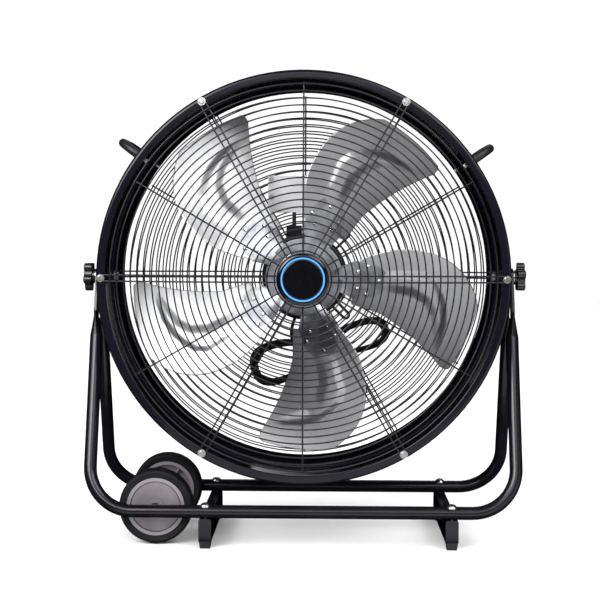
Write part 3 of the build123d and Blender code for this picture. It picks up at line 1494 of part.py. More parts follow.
hank_points += [
    hank_point(-hank_waist, -hank_strand_offset, 0.0),
    hank_point(hank_waist, -hank_strand_offset, 0.0),
    Vector(hank_x + 36.0, tail_front, pivot_height - hank_drop - 7.0),
    Vector(hank_x + 58.0, tail_front + 0.8, pivot_height - hank_drop - 14.0),
    Vector(hank_x + 71.0, tail_front + 2.5, pivot_height - hank_drop - 32.0),
    Vector(hank_x + 74.0, tail_front + 2.5, pivot_height - hank_drop - 50.0),
]

for tube_name, points in (("cord_lead", lead_points), ("cord_hank", hank_points)):
    radii = bend_radii(points)
    with BuildPart() as tube:
        with BuildLine() as route:
            FilletPolyline(*points, radius=radii)
        route_wire = route.wires()[0]
        with BuildSketch(Plane(origin=route_wire @ 0, z_dir=route_wire % 0)):
            Circle(cord_radius)
        sweep(path=route_wire)
    tube.part.label = tube_name
    export_step(tube.part, f"parts/{tube_name}.step")
    share = tube.part.volume / (pi * cord_radius**2 * route_wire.length)
    print(f"{tube_name}: length {route_wire.length:.0f}, volume over section times length {share:.4f}")
    print("  bend radii", " ".join(f"{radius:.0f}" for radius in radii))

# The hank's least gap to itself, on points 2 mm apart that are over 40 mm apart along it.
sample_count = int(route_wire.length / 2.0)
samples = [route_wire @ (index / sample_count) for index in range(sample_count + 1)]
least = 1000.0
for first in range(0, sample_count - 20):
    one = samples[first]
    for second in range(first + 20, sample_count + 1):
        two = samples[second]
        if abs(one.X - two.X) < 9 and abs(one.Z - two.Z) < 9:
            least = min(least, (one - two).length)
print(f"  least gap between the hank's strands {least - cord_diameter:.2f}")

# A tie round both strands and one ring of the guard.
tie_tilt = radians(hank_tilt)
tied_ring = 8
tied_radius = first_ring_radius + tied_ring * ring_pitch
tied_wire_y = spoke_seat + dome_rise(tied_radius, rear_dome) + ring_step
tie_inner_front = tied_wire_y - ring_wire / 2 - 0.4
tie_inner_rear = hank_front_y + hank_loops * hank_pitch + cord_radius + 0.4
tie_inner_half = hank_strand_offset + cord_radius + 0.6
tie_middle = Vector(hank_x, (tie_inner_front + tie_inner_rear) / 2, pivot_height - hank_drop)
along_hank = Vector(cos(tie_tilt), 0, sin(tie_tilt))
with BuildPart() as cord_tie:
    with BuildSketch(Plane(origin=tie_middle, x_dir=(0, 1, 0), z_dir=along_hank)):
        RectangleRounded(
            tie_inner_rear - tie_inner_front + 2 * tie_thickness,
            2 * tie_inner_half + 2 * tie_thickness,
            2.4,
        )
        RectangleRounded(tie_inner_rear - tie_inner_front, 2 * tie_inner_half, 1.2, mode=Mode.SUBTRACT)
    extrude(amount=tie_width / 2, both=True)
cord_tie.part.label = "cord_tie"
export_step(cord_tie.part, "parts/cord_tie.step")

plug_down = (hank_points[-1] - hank_points[-2]).normalized()
plug_start = hank_points[-1]
plug_plane = Plane(origin=plug_start, x_dir=(0, 1, 0), z_dir=plug_down)
with BuildPart() as plug_body:
    with BuildSketch(plug_plane.offset(touch_gap)):
        Circle(plug_neck_diameter / 2)
    with BuildSketch(plug_plane.offset(plug_neck_length)):
        Circle(plug_neck_diameter / 2 + plug_edge)
    loft()
    with BuildSketch(plug_plane.offset(plug_neck_length - plug_edge)):
        RectangleRounded(plug_depth, plug_width, plug_corner)
    extrude(amount=plug_length - plug_neck_length + plug_edge)
    fillet(plug_body.faces().sort_by(Axis.Z)[0].edges(), plug_edge)
plug_body.part.label = "plug_body"
export_step(plug_body.part, "parts/plug_body.step")

plug_face = plug_plane.offset(plug_length + touch_gap)
with BuildPart() as plug_pins:
    with BuildSketch(plug_face):
        with Locations((0, -plug_pin_spacing / 2), (0, plug_pin_spacing / 2)):
            Rectangle(plug_blade_width, plug_blade_thickness)
    extrude(amount=plug_pin_length)
    with BuildSketch(plug_face):
        with Locations((-plug_earth_offset, 0)):
            Circle(plug_earth_diameter / 2)
    extrude(amount=plug_earth_length)
plug_pins.part.label = "plug_pins"
export_step(plug_pins.part, "parts/plug_pins.step")
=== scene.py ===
from math import radians

import bpy
import numpy as np
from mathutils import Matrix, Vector


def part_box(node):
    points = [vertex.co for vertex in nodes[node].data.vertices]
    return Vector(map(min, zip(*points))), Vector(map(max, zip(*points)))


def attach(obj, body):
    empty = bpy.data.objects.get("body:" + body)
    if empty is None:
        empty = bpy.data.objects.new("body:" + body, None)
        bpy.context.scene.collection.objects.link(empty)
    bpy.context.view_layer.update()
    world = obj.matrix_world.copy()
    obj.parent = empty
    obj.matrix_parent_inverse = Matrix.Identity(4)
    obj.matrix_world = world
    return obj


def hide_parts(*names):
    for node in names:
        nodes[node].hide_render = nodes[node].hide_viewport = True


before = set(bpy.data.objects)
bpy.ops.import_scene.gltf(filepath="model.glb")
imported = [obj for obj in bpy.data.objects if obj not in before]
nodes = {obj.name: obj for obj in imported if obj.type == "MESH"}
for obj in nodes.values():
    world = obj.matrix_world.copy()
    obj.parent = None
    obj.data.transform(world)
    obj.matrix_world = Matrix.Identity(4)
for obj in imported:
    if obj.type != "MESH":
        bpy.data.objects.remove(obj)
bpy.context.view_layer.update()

print("frame loaded:", len(nodes), "CAD nodes")

# places and sizes are in metres, apart from the blades, the hank's loops and the patterns' marks, whose
# sizes are in millimetres
hubHeight = 0.452

# camera: about level with the hub, 2.4 m in front of the fan; its angles are in degrees
camera = {"place": (0.0350, -2.3735, 0.5251), "tilt": 87.25, "roll": -0.2, "turn": 1.03,
          "lens": 81.4, "sensor": 36.0, "far": 60.0}

cameraData = bpy.data.cameras.new("camera")
cameraData.lens = camera["lens"]
cameraData.sensor_width = camera["sensor"]
cameraData.sensor_fit = "HORIZONTAL"
cameraData.clip_end = camera["far"]
cameraObject = bpy.data.objects.new("camera", cameraData)
cameraObject.location = camera["place"]
cameraObject.rotation_euler = [radians(camera[angle]) for angle in ("tilt", "roll", "turn")]
bpy.context.scene.collection.objects.link(cameraObject)
bpy.context.scene.camera = cameraObject
print("camera placed")


def linearColour(hexValue):
    # an sRGB hex value as linear red, green, blue and alpha
    channels = [int(hexValue[i:i + 2], 16) / 255.0 for i in (1, 3, 5)]
    linear = [c / 12.92 if c <= 0.04045 else ((c + 0.055) / 1.055) ** 2.4 for c in channels]
    return (*linear, 1.0)


def markScale(size):
    # the scale that makes the marks of a noise or of crystals so many millimetres wide
    return 1000.0 / size


def bandScale(gap):
    # the scale that puts a wave's bands so many millimetres apart: a band takes pi / 10 of a unit
    return 1000.0 * np.pi / 10 / gap


def addNode(tree, kind, settings=None, links=None, stops=()):
    # in settings an integer or a capitalised name is a socket and a lower-case name a property;
    # stops are the places and the sRGB values along a colour ramp
    node = tree.nodes.new(kind)
    for key, value in (settings or {}).items():
        if isinstance(key, int) or key[0].isupper():
            node.inputs[key].default_value = value
        else:
            setattr(node, key, value)
    for key, source in (links or {}).items():
        tree.links.new(source, node.inputs[key])
    for number, (place, colour) in enumerate(stops):
        ramp = node.color_ramp.elements
        stop = ramp[number] if number < 2 else ramp.new(place)
        stop.position = place
        stop.color = linearColour(colour)
    return node


def startMaterial(name, colour, roughness, metallic=0.0, settings=None):
    # the material, its node tree, its shader and the Object coordinates that its patterns read
    material = bpy.data.materials.new(name)
    material.use_nodes = True
    tree = material.node_tree
    shader = tree.nodes["Principled BSDF"]
    shader.inputs["Base Color"].default_value = linearColour(colour)
    shader.inputs["Roughness"].default_value = roughness
    shader.inputs["Metallic"].default_value = metallic
    for key, value in (settings or {}).items():
        shader.inputs[key].default_value = value
    place = addNode(tree, "ShaderNodeTexCoord").outputs["Object"]
    return material, tree, shader, place


def showObject(mesh, material):
    # a new smooth object at the origin, with its place in its mesh
    thing = bpy.data.objects.new(mesh.name, mesh)
    bpy.context.scene.collection.objects.link(thing)
    mesh.materials.append(material)
    mesh.polygons.foreach_set("use_smooth", np.ones(len(mesh.polygons), bool))
    return thing


def gridMesh(name, points, closed=False):
    # points[i, j] is a grid of places: quads join each place to the next along i and along j, and a
    # closed grid also joins its last row and column to its first
    rows, columns = points.shape[:2]
    index = np.arange(rows * columns).reshape(rows, columns)
    if closed:
        index = np.vstack([index, index[:1]])
        index = np.hstack([index, index[:, :1]])
    quads = np.stack([index[:-1, :-1], index[:-1, 1:], index[1:, 1:], index[1:, :-1]], axis=-1)
    mesh = bpy.data.meshes.new(name)
    mesh.from_pydata(points.reshape(-1, 3).tolist(), [], quads.reshape(-1, 4).tolist())
    mesh.update()
    return mesh


# cord: a 6 mm mains lead that comes down the rear guard and is wound in a tied hank. Reach and half are
# the loops' sizes, each as that of layer 0 and what every layer adds; the arrival is in hankPoint's
# measures, and the lead and the tail are places in metres
cord = {
    "diameter": 0.006,
    "length": 2.24,
    "middle": (0.025, 0.143, 0.3112),
    "tilt": 17.6,
    "layer": 0.007,
    "layers": (3, 2, 1),  # whole turns, the outermost first
    "waist": (12, 4),  # half the tied length, and half the gap between its strands
    "rightReach": (121.5, 4.5),
    "rightHalf": (18.0, 3.0),
    "leftReach": (113.5, 5.5),
    "leftHalf": (24.5, 4.5),
    "near": (52, 50),  # where the right and the left loop begin
    "skew": 1,  # how much the two sides of a loop differ
    "lead": ((0.025, 0.1458, 0.578), (0.025, 0.1458, 0.511), (0.012, 0.1508, 0.447),
             (-0.012, 0.1628, 0.390)),
    "arrival": ((-45, 43, 4.0), (-38, 6, 3.9)),
    "tail": ((0.061, 0.143, 0.3042), (0.083, 0.1438, 0.2972), (0.096, 0.1455, 0.2792),
             (0.099, 0.1455, 0.2612)),
}


def hankPoint(along, across, layer):
    # a place in millimetres along and across the tilted hank, and in layers off the guard
    tilt = radians(cord["tilt"])
    along, across = along / 1000.0, across / 1000.0
    middle = cord["middle"]
    return (middle[0] + along * np.cos(tilt) - across * np.sin(tilt), middle[1] + layer * cord["layer"],
            middle[2] + along * np.sin(tilt) + across * np.cos(tilt))


def hankTurn(layer):
    # one figure of eight: through the waist, round the right loop, back through the waist and round
    # the left loop
    waist, gap = cord["waist"]
    rightNear, leftNear = cord["near"]
    skew = cord["skew"]
    sizes = (cord[name] for name in ("rightReach", "rightHalf", "leftReach", "leftHalf"))
    rightReach, rightHalf, leftReach, leftHalf = (start + growth * layer for start, growth in sizes)
    turn = ((-waist, -gap), (waist, -gap),
            (rightNear, -rightHalf), (rightReach, -rightHalf),
            (rightReach - skew, rightHalf), (rightNear + skew, rightHalf + skew),
            (waist, gap), (-waist, gap),
            (-leftNear, leftHalf + skew), (-leftReach, leftHalf - skew),
            (-leftReach - skew, -leftHalf), (-leftNear - skew, -leftHalf - skew))
    return [hankPoint(along, across, layer) for along, across in turn]


cordRoute = [*cord["lead"], *(hankPoint(*place) for place in cord["arrival"])]
for layer in cord["layers"]:
    cordRoute += hankTurn(layer)
cordRoute += [*hankTurn(0)[:2], *cord["tail"]]


def cordJacket():
    # cordJacket: extruded PVC, soft black with a dull skin, whose fine grain is drawn 1 mm across so that
    # it shows
    material, tree, shader, place = startMaterial("cordJacket", "#141416", 0.5,
                                                  settings={"Specular IOR Level": 0.45})
    grain = addNode(tree, "ShaderNodeTexNoise", {"Scale": markScale(1.11), "Detail": 2.0}, {"Vector": place})
    tone = addNode(tree, "ShaderNodeValToRGB", links={"Fac": grain.outputs["Fac"]},
                   stops=((0.0, "#0f0f11"), (1.0, "#1c1c20")))
    tree.links.new(tone.outputs["Color"], shader.inputs["Base Color"])
    dents = addNode(tree, "ShaderNodeBump", {"Strength": 0.25, "Distance": 0.0002},
                    {"Height": grain.outputs["Fac"]})
    tree.links.new(dents.outputs["Normal"], shader.inputs["Normal"])
    return material


cordData = bpy.data.curves.new("mainsCord", "CURVE")
cordData.dimensions = "3D"
spline = cordData.splines.new("NURBS")
spline.points.add(len(cordRoute) - 1)
for point, xyz in zip(spline.points, cordRoute):
    point.co = (*xyz, 1.0)
spline.order_u = 3
spline.use_endpoint_u = True
spline.resolution_u = 12
cordData.bevel_depth = cord["diameter"] / 2
cordData.bevel_resolution = 5
cordData.use_fill_caps = True
cordData.materials.append(cordJacket())
mainsCord = bpy.data.objects.new("mainsCord", cordData)
bpy.context.scene.collection.objects.link(mainsCord)
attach(mainsCord, "drum")
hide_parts("cord_lead", "cord_hank")
print("cord laid:", len(cordRoute), "points")


def powderCoat(name, colour, roughness, peel=0.18, dustAndSheen="#1b1923"):
    # powderCoat: polyester powder baked on steel, black with a wet shine, an orange peel 2.4 mm across
    # and clouds 110 mm wide in a lighter violet, partly dust and partly a painted sheen
    wetShine = {"Coat Weight": 0.15, "Coat Roughness": 0.08, "Specular IOR Level": 0.35}
    material, tree, shader, place = startMaterial(name, colour, roughness, settings=wetShine)
    peelNoise = addNode(tree, "ShaderNodeTexNoise",
                        {"Scale": markScale(2.38), "Detail": 2.0, "Roughness": 0.5}, {"Vector": place})
    dust = addNode(tree, "ShaderNodeTexNoise", {"Scale": markScale(111), "Detail": 5.0, "Roughness": 0.6},
                   {"Vector": place})
    # the clouds' lighter violet colour is partly dust and partly a painted sheen
    tone = addNode(tree, "ShaderNodeValToRGB", links={"Fac": dust.outputs["Fac"]},
                   stops=((0.35, colour), (0.85, dustAndSheen)))
    tree.links.new(tone.outputs["Color"], shader.inputs["Base Color"])
    dull = addNode(tree, "ShaderNodeMapRange", {"To Min": roughness - 0.05, "To Max": roughness + 0.09},
                   {"Value": dust.outputs["Fac"]})
    tree.links.new(dull.outputs["Result"], shader.inputs["Roughness"])
    bump = addNode(tree, "ShaderNodeBump", {"Strength": peel, "Distance": 0.0003},
                   {"Height": peelNoise.outputs["Fac"]})
    tree.links.new(bump.outputs["Normal"], shader.inputs["Normal"])
    return material


def drumEnamel():
    # drumEnamel: powder coat on the rolled shell; the rolls left waves 17 mm wide from front to back
    # and 170 mm long, under the coat's own orange peel
    wetShine = {"Coat Weight": 0.12, "Coat Roughness": 0.05, "Specular IOR Level": 0.25}
    material, tree, shader, place = startMaterial("drumEnamel", "#0d0b12", 0.16, settings=wetShine)
    stretch = addNode(tree, "ShaderNodeMapping", {"Scale": (markScale(167), markScale(16.7), markScale(167))},
                      {"Vector": place})
    rolls = addNode(tree, "ShaderNodeTexNoise", {"Scale": 1.0, "Detail": 3.0},
                    {"Vector": stretch.outputs["Vector"]})
    dust = addNode(tree, "ShaderNodeTexNoise", {"Scale": markScale(143), "Detail": 5.0, "Roughness": 0.6},
                   {"Vector": place})
    tone = addNode(tree, "ShaderNodeValToRGB", links={"Fac": dust.outputs["Fac"]},
                   stops=((0.3, "#08070d"), (0.9, "#13111b")))
    tree.links.new(tone.outputs["Color"], shader.inputs["Base Color"])
    peel = addNode(tree, "ShaderNodeTexNoise", {"Scale": markScale(2.38), "Detail": 2.0}, {"Vector": place})
    waves = addNode(tree, "ShaderNodeBump", {"Strength": 0.35, "Distance": 0.0015},
                    {"Height": rolls.outputs["Fac"]})
    bump = addNode(tree, "ShaderNodeBump", {"Strength": 0.15, "Distance": 0.0003},
                   {"Height": peel.outputs["Fac"], "Normal": waves.outputs["Normal"]})
    tree.links.new(bump.outputs["Normal"], shader.inputs["Normal"])
    return material


def zincPlate(name, roughness):
    # zincPlate: bright chromated zinc, a cool grey metal worn in patches of 4 mm; its crystals are drawn
    # 1.4 mm wide so that they show, and the aluminium rivets are mottled the same way
    material, tree, shader, place = startMaterial(name, "#c9cac8", roughness, metallic=1.0)
    spangle = addNode(tree, "ShaderNodeTexVoronoi", {"Scale": markScale(1.43)}, {"Vector": place})
    tone = addNode(tree, "ShaderNodeValToRGB", links={"Fac": spangle.outputs["Color"]},
                   stops=((0.0, "#a9abab"), (1.0, "#dcdcd8")))
    tree.links.new(tone.outputs["Color"], shader.inputs["Base Color"])
    wear = addNode(tree, "ShaderNodeTexNoise", {"Scale": markScale(3.85), "Detail": 4.0}, {"Vector": place})
    dull = addNode(tree, "ShaderNodeMapRange", {"To Min": roughness - 0.08, "To Max": roughness + 0.14},
                   {"Value": wear.outputs["Fac"]})
    tree.links.new(dull.outputs["Result"], shader.inputs["Roughness"])
    return material


def spiderSteel():
    # spiderSteel: pressed sheet steel in clear zinc, a cool grey with cloudy marks 26 mm wide from the bath
    material, tree, shader, place = startMaterial("spiderSteel", "#a3a4ab", 0.34, metallic=1.0)
    cloud = addNode(tree, "ShaderNodeTexNoise", {"Scale": markScale(26.3), "Detail": 3.0, "Roughness": 0.55},
                    {"Vector": place})
    tone = addNode(tree, "ShaderNodeValToRGB", links={"Fac": cloud.outputs["Fac"]},
                   stops=((0.36, "#a2a3aa"), (0.66, "#dfe0e6")))
    tree.links.new(tone.outputs["Color"], shader.inputs["Base Color"])
    dull = addNode(tree, "ShaderNodeMapRange", {"To Min": 0.24, "To Max": 0.44},
                   {"Value": cloud.outputs["Fac"]})
    tree.links.new(dull.outputs["Result"], shader.inputs["Roughness"])
    waves = addNode(tree, "ShaderNodeBump", {"Strength": 0.3, "Distance": 0.002},
                    {"Height": cloud.outputs["Fac"]})
    tree.links.new(waves.outputs["Normal"], shader.inputs["Normal"])
    return material


def turnedSteel(name, colour, roughness):
    # turnedSteel: bar turned in a lathe, a bright metal with tool lines 0.4 mm apart along Y, which ring
    # the axle, the rotor and the bearings
    material, tree, shader, place = startMaterial(name, colour, roughness, metallic=1.0)
    along = addNode(tree, "ShaderNodeMapping", {"Scale": (markScale(250), markScale(0.384), markScale(250))},
                    {"Vector": place})
    tool = addNode(tree, "ShaderNodeTexNoise", {"Scale": 1.0, "Detail": 2.0},
                   {"Vector": along.outputs["Vector"]})
    tone = addNode(tree, "ShaderNodeValToRGB", links={"Fac": tool.outputs["Fac"]},
                   stops=((0.0, "#8d9092"), (1.0, colour)))
    tree.links.new(tone.outputs["Color"], shader.inputs["Base Color"])
    bump = addNode(tree, "ShaderNodeBump", {"Strength": 0.2, "Distance": 0.0001},
                   {"Height": tool.outputs["Fac"]})
    tree.links.new(bump.outputs["Normal"], shader.inputs["Normal"])
    return material


def mouldedPlastic(name, colour, light, roughness, grain, strength=0.2, coat=0.0):
    # mouldedPlastic: the mould's spark-eroded skin gives a soft shine, over flow marks 45 mm wide; its
    # fine grain, in millimetres, is drawn coarse so that it shows
    material, tree, shader, place = startMaterial(name, colour, roughness,
                                                  settings={"Coat Weight": coat, "Coat Roughness": 0.05})
    skin = addNode(tree, "ShaderNodeTexNoise", {"Scale": markScale(grain), "Detail": 3.0}, {"Vector": place})
    flow = addNode(tree, "ShaderNodeTexNoise", {"Scale": markScale(45.5), "Detail": 3.0}, {"Vector": place})
    tone = addNode(tree, "ShaderNodeValToRGB", links={"Fac": flow.outputs["Fac"]},
                   stops=((0.25, colour), (0.85, light)))
    tree.links.new(tone.outputs["Color"], shader.inputs["Base Color"])
    dull = addNode(tree, "ShaderNodeMapRange", {"To Min": roughness - 0.04, "To Max": roughness + 0.08},
                   {"Value": skin.outputs["Fac"]})
    tree.links.new(dull.outputs["Result"], shader.inputs["Roughness"])
    bump = addNode(tree, "ShaderNodeBump", {"Strength": strength, "Distance": 0.0003},
                   {"Height": skin.outputs["Fac"]})
    tree.links.new(bump.outputs["Normal"], shader.inputs["Normal"])
    return material


def tyreRubber():
    # tyreRubber: cured in a mould, dull black with a grey bloom in patches of 22 mm and moulding lines
    # 4 mm apart across the tread; its pits are drawn 1.4 mm wide so that they show
    material, tree, shader, place = startMaterial("tyreRubber", "#0d0d0f", 0.65,
                                                  settings={"Specular IOR Level": 0.2})
    bloom = addNode(tree, "ShaderNodeTexNoise", {"Scale": markScale(22.2), "Detail": 6.0, "Roughness": 0.65},
                    {"Vector": place})
    tone = addNode(tree, "ShaderNodeValToRGB", links={"Fac": bloom.outputs["Fac"]},
                   stops=((0.3, "#09090b"), (0.8, "#17171a")))
    tree.links.new(tone.outputs["Color"], shader.inputs["Base Color"])
    lines = addNode(tree, "ShaderNodeTexWave",
                    {"Scale": bandScale(3.93), "Distortion": 0.0, "bands_direction": "Y"}, {"Vector": place})
    pits = addNode(tree, "ShaderNodeTexNoise", {"Scale": markScale(1.43), "Detail": 3.0}, {"Vector": place})
    ridges = addNode(tree, "ShaderNodeBump", {"Strength": 0.25, "Distance": 0.0003},
                     {"Height": lines.outputs["Fac"]})
    bump = addNode(tree, "ShaderNodeBump", {"Strength": 0.3, "Distance": 0.0002},
                   {"Height": pits.outputs["Fac"], "Normal": ridges.outputs["Normal"]})
    tree.links.new(bump.outputs["Normal"], shader.inputs["Normal"])
    return material


# wheel: where its axle is, and how far from it the dark cap ends and the lighter rim begins
wheel = {"axleX": -0.249, "axleZ": 0.0644, "capEdge": 0.0432,
         "cap": "#554f55", "capLight": "#6a646a", "ring": "#6b666c"}


def wheelPolypropylene():
    # wheelPolypropylene: moulded warm grey plastic with flow marks 38 mm wide and a fine grain, drawn
    # 1 mm across so that it shows; the cap is darker than the rim round it
    material, tree, shader, place = startMaterial("wheelPolypropylene", wheel["cap"], 0.38)
    toAxle = {"Location": (-wheel["axleX"], 0.0, -wheel["axleZ"]), "Scale": (1.0, 0.0, 1.0)}
    fromAxle = addNode(tree, "ShaderNodeMapping", toAxle, {"Vector": place})
    reach = addNode(tree, "ShaderNodeVectorMath", {"operation": "LENGTH"}, {0: fromAxle.outputs["Vector"]})
    flow = addNode(tree, "ShaderNodeTexNoise", {"Scale": markScale(38.5), "Detail": 4.0, "Roughness": 0.6},
                   {"Vector": place})
    tone = addNode(tree, "ShaderNodeValToRGB", links={"Fac": flow.outputs["Fac"]},
                   stops=((0.3, wheel["cap"]), (0.75, wheel["capLight"])))
    onRim = addNode(tree, "ShaderNodeMath", {"operation": "GREATER_THAN", 1: wheel["capEdge"]},
                    {0: reach.outputs["Value"]})
    colour = addNode(tree, "ShaderNodeMix", {"data_type": "RGBA"})
    tree.links.new(onRim.outputs["Value"], colour.inputs["Factor"])
    tree.links.new(tone.outputs["Color"], colour.inputs["A"])
    colour.inputs["B"].default_value = linearColour(wheel["ring"])
    tree.links.new(colour.outputs["Result"], shader.inputs["Base Color"])
    skin = addNode(tree, "ShaderNodeTexNoise", {"Scale": markScale(1.11), "Detail": 3.0}, {"Vector": place})
    bump = addNode(tree, "ShaderNodeBump", {"Strength": 0.2, "Distance": 0.0003},
                   {"Height": skin.outputs["Fac"]})
    tree.links.new(bump.outputs["Normal"], shader.inputs["Normal"])
    return material


def rolledAluminium():
    # rolledAluminium: mill-finish sheet, a white satin metal under clouds 70 mm wide; its hair-fine
    # rolling lines are drawn 1 mm wide and 80 mm long so that they show
    material, tree, shader, place = startMaterial("rolledAluminium", "#cfd0d4", 0.36, metallic=1.0)
    onBlade = addNode(tree, "ShaderNodeUVMap", {"uv_map": "sheet"}).outputs["UV"]
    stretch = addNode(tree, "ShaderNodeMapping", {"Scale": (markScale(83.3), markScale(1.11), 1.0)},
                      {"Vector": onBlade})
    rolls = addNode(tree, "ShaderNodeTexNoise", {"Scale": 1.0, "Detail": 3.0},
                    {"Vector": stretch.outputs["Vector"]})
    cloud = addNode(tree, "ShaderNodeTexNoise", {"Scale": markScale(71.4), "Detail": 4.0}, {"Vector": place})
    tone = addNode(tree, "ShaderNodeValToRGB", links={"Fac": cloud.outputs["Fac"]},
                   stops=((0.3, "#dcdcde"), (0.8, "#efeff1")))
    tree.links.new(tone.outputs["Color"], shader.inputs["Base Color"])
    dull = addNode(tree, "ShaderNodeMapRange", {"To Min": 0.34, "To Max": 0.5},
                   {"Value": rolls.outputs["Fac"]})
    tree.links.new(dull.outputs["Result"], shader.inputs["Roughness"])
    bump = addNode(tree, "ShaderNodeBump", {"Strength": 0.12, "Distance": 0.0002},
                   {"Height": rolls.outputs["Fac"]})
    tree.links.new(bump.outputs["Normal"], shader.inputs["Normal"])
    return material


def laminatedSteel():
    # laminatedSteel: stacked half-millimetre sheets, a dull grey with dark joints, drawn 2 mm apart so
    # that they show
    material, tree, shader, place = startMaterial("laminatedSteel", "#6f7174", 0.45, metallic=1.0)
    stack = addNode(tree, "ShaderNodeTexWave",
                    {"Scale": bandScale(1.963), "Distortion": 0.4, "bands_direction": "Y"}, {"Vector": place})
    tone = addNode(tree, "ShaderNodeValToRGB", links={"Fac": stack.outputs["Fac"]},
                   stops=((0.0, "#45474a"), (1.0, "#8b8e92")))
    tree.links.new(tone.outputs["Color"], shader.inputs["Base Color"])
    bump = addNode(tree, "ShaderNodeBump", {"Strength": 0.4, "Distance": 0.0003},
                   {"Height": stack.outputs["Fac"]})
    tree.links.new(bump.outputs["Normal"], shader.inputs["Normal"])
    return material


def enamelledCopper():
    # enamelledCopper: varnished winding wire, a glossy red brown; its 1 mm turns are drawn 2 mm apart so
    # that they show, with painted shade between the turns and a painted highlight along each
    material, tree, shader, place = startMaterial("enamelledCopper", "#a4552a", 0.3, metallic=1.0,
                                                  settings={"Coat Weight": 0.6})
    turns = addNode(tree, "ShaderNodeTexWave", {"Scale": bandScale(2.094), "Distortion": 3.0, "Detail": 2.0},
                    {"Vector": place})
    # painted shade darkens the gaps between the turns and a painted highlight lightens their crests
    tone = addNode(tree, "ShaderNodeValToRGB", links={"Fac": turns.outputs["Fac"]},
                   stops=((0.0, "#5e2c14"), (1.0, "#c87444")))
    tree.links.new(tone.outputs["Color"], shader.inputs["Base Color"])
    bump = addNode(tree, "ShaderNodeBump", {"Strength": 0.6, "Distance": 0.0005},
                   {"Height": turns.outputs["Fac"]})
    tree.links.new(bump.outputs["Normal"], shader.inputs["Normal"])
    return material


def badgeBlack():
    # badgeBlack: high-gloss black moulding, whose shine is broken only by polishing marks 17 mm long
    material, tree, shader, place = startMaterial("badgeBlack", "#040406", 0.08,
                                                  settings={"Coat Weight": 0.3, "Coat Roughness": 0.03})
    marks = addNode(tree, "ShaderNodeTexNoise", {"Scale": markScale(16.7), "Detail": 6.0, "Roughness": 0.7},
                    {"Vector": place})
    tone = addNode(tree, "ShaderNodeValToRGB", links={"Fac": marks.outputs["Fac"]},
                   stops=((0.0, "#040406"), (1.0, "#0a0a0e")))
    tree.links.new(tone.outputs["Color"], shader.inputs["Base Color"])
    dull = addNode(tree, "ShaderNodeMapRange", {"To Min": 0.08, "To Max": 0.18},
                   {"Value": marks.outputs["Fac"]})
    tree.links.new(dull.outputs["Result"], shader.inputs["Roughness"])
    return material


# guide: how far from the fan's axis the blue ring round the badge's disc begins and ends, where its painted
# shade is darkest
guide = {"inside": 0.0326, "outside": 0.0364}


def badgeGuide():
    # badgeGuide: a clear blue moulding with a gloss, with painted shade darkening it where its edges turn
    # away from the light
    material, tree, shader, place = startMaterial("badgeGuide", "#2f74b8", 0.22,
                                                  settings={"Coat Weight": 0.6})
    toHub = {"Location": (0.0, 0.0, -hubHeight), "Scale": (1.0, 0.0, 1.0)}
    fromHub = addNode(tree, "ShaderNodeMapping", toHub, {"Vector": place})
    reach = addNode(tree, "ShaderNodeVectorMath", {"operation": "LENGTH"}, {0: fromHub.outputs["Vector"]})
    across = addNode(tree, "ShaderNodeMapRange", {"From Min": guide["inside"], "From Max": guide["outside"]},
                     {"Value": reach.outputs["Value"]})
    # painted shade: the ring's blue darkens towards its inner and outer edges
    tone = addNode(tree, "ShaderNodeValToRGB", links={"Fac": across.outputs["Result"]},
                   stops=((0.15, "#101c34"), (0.4, "#3f83c8"), (0.85, "#3f83c8"), (1.0, "#173152")))
    tree.links.new(tone.outputs["Color"], shader.inputs["Base Color"])
    return material


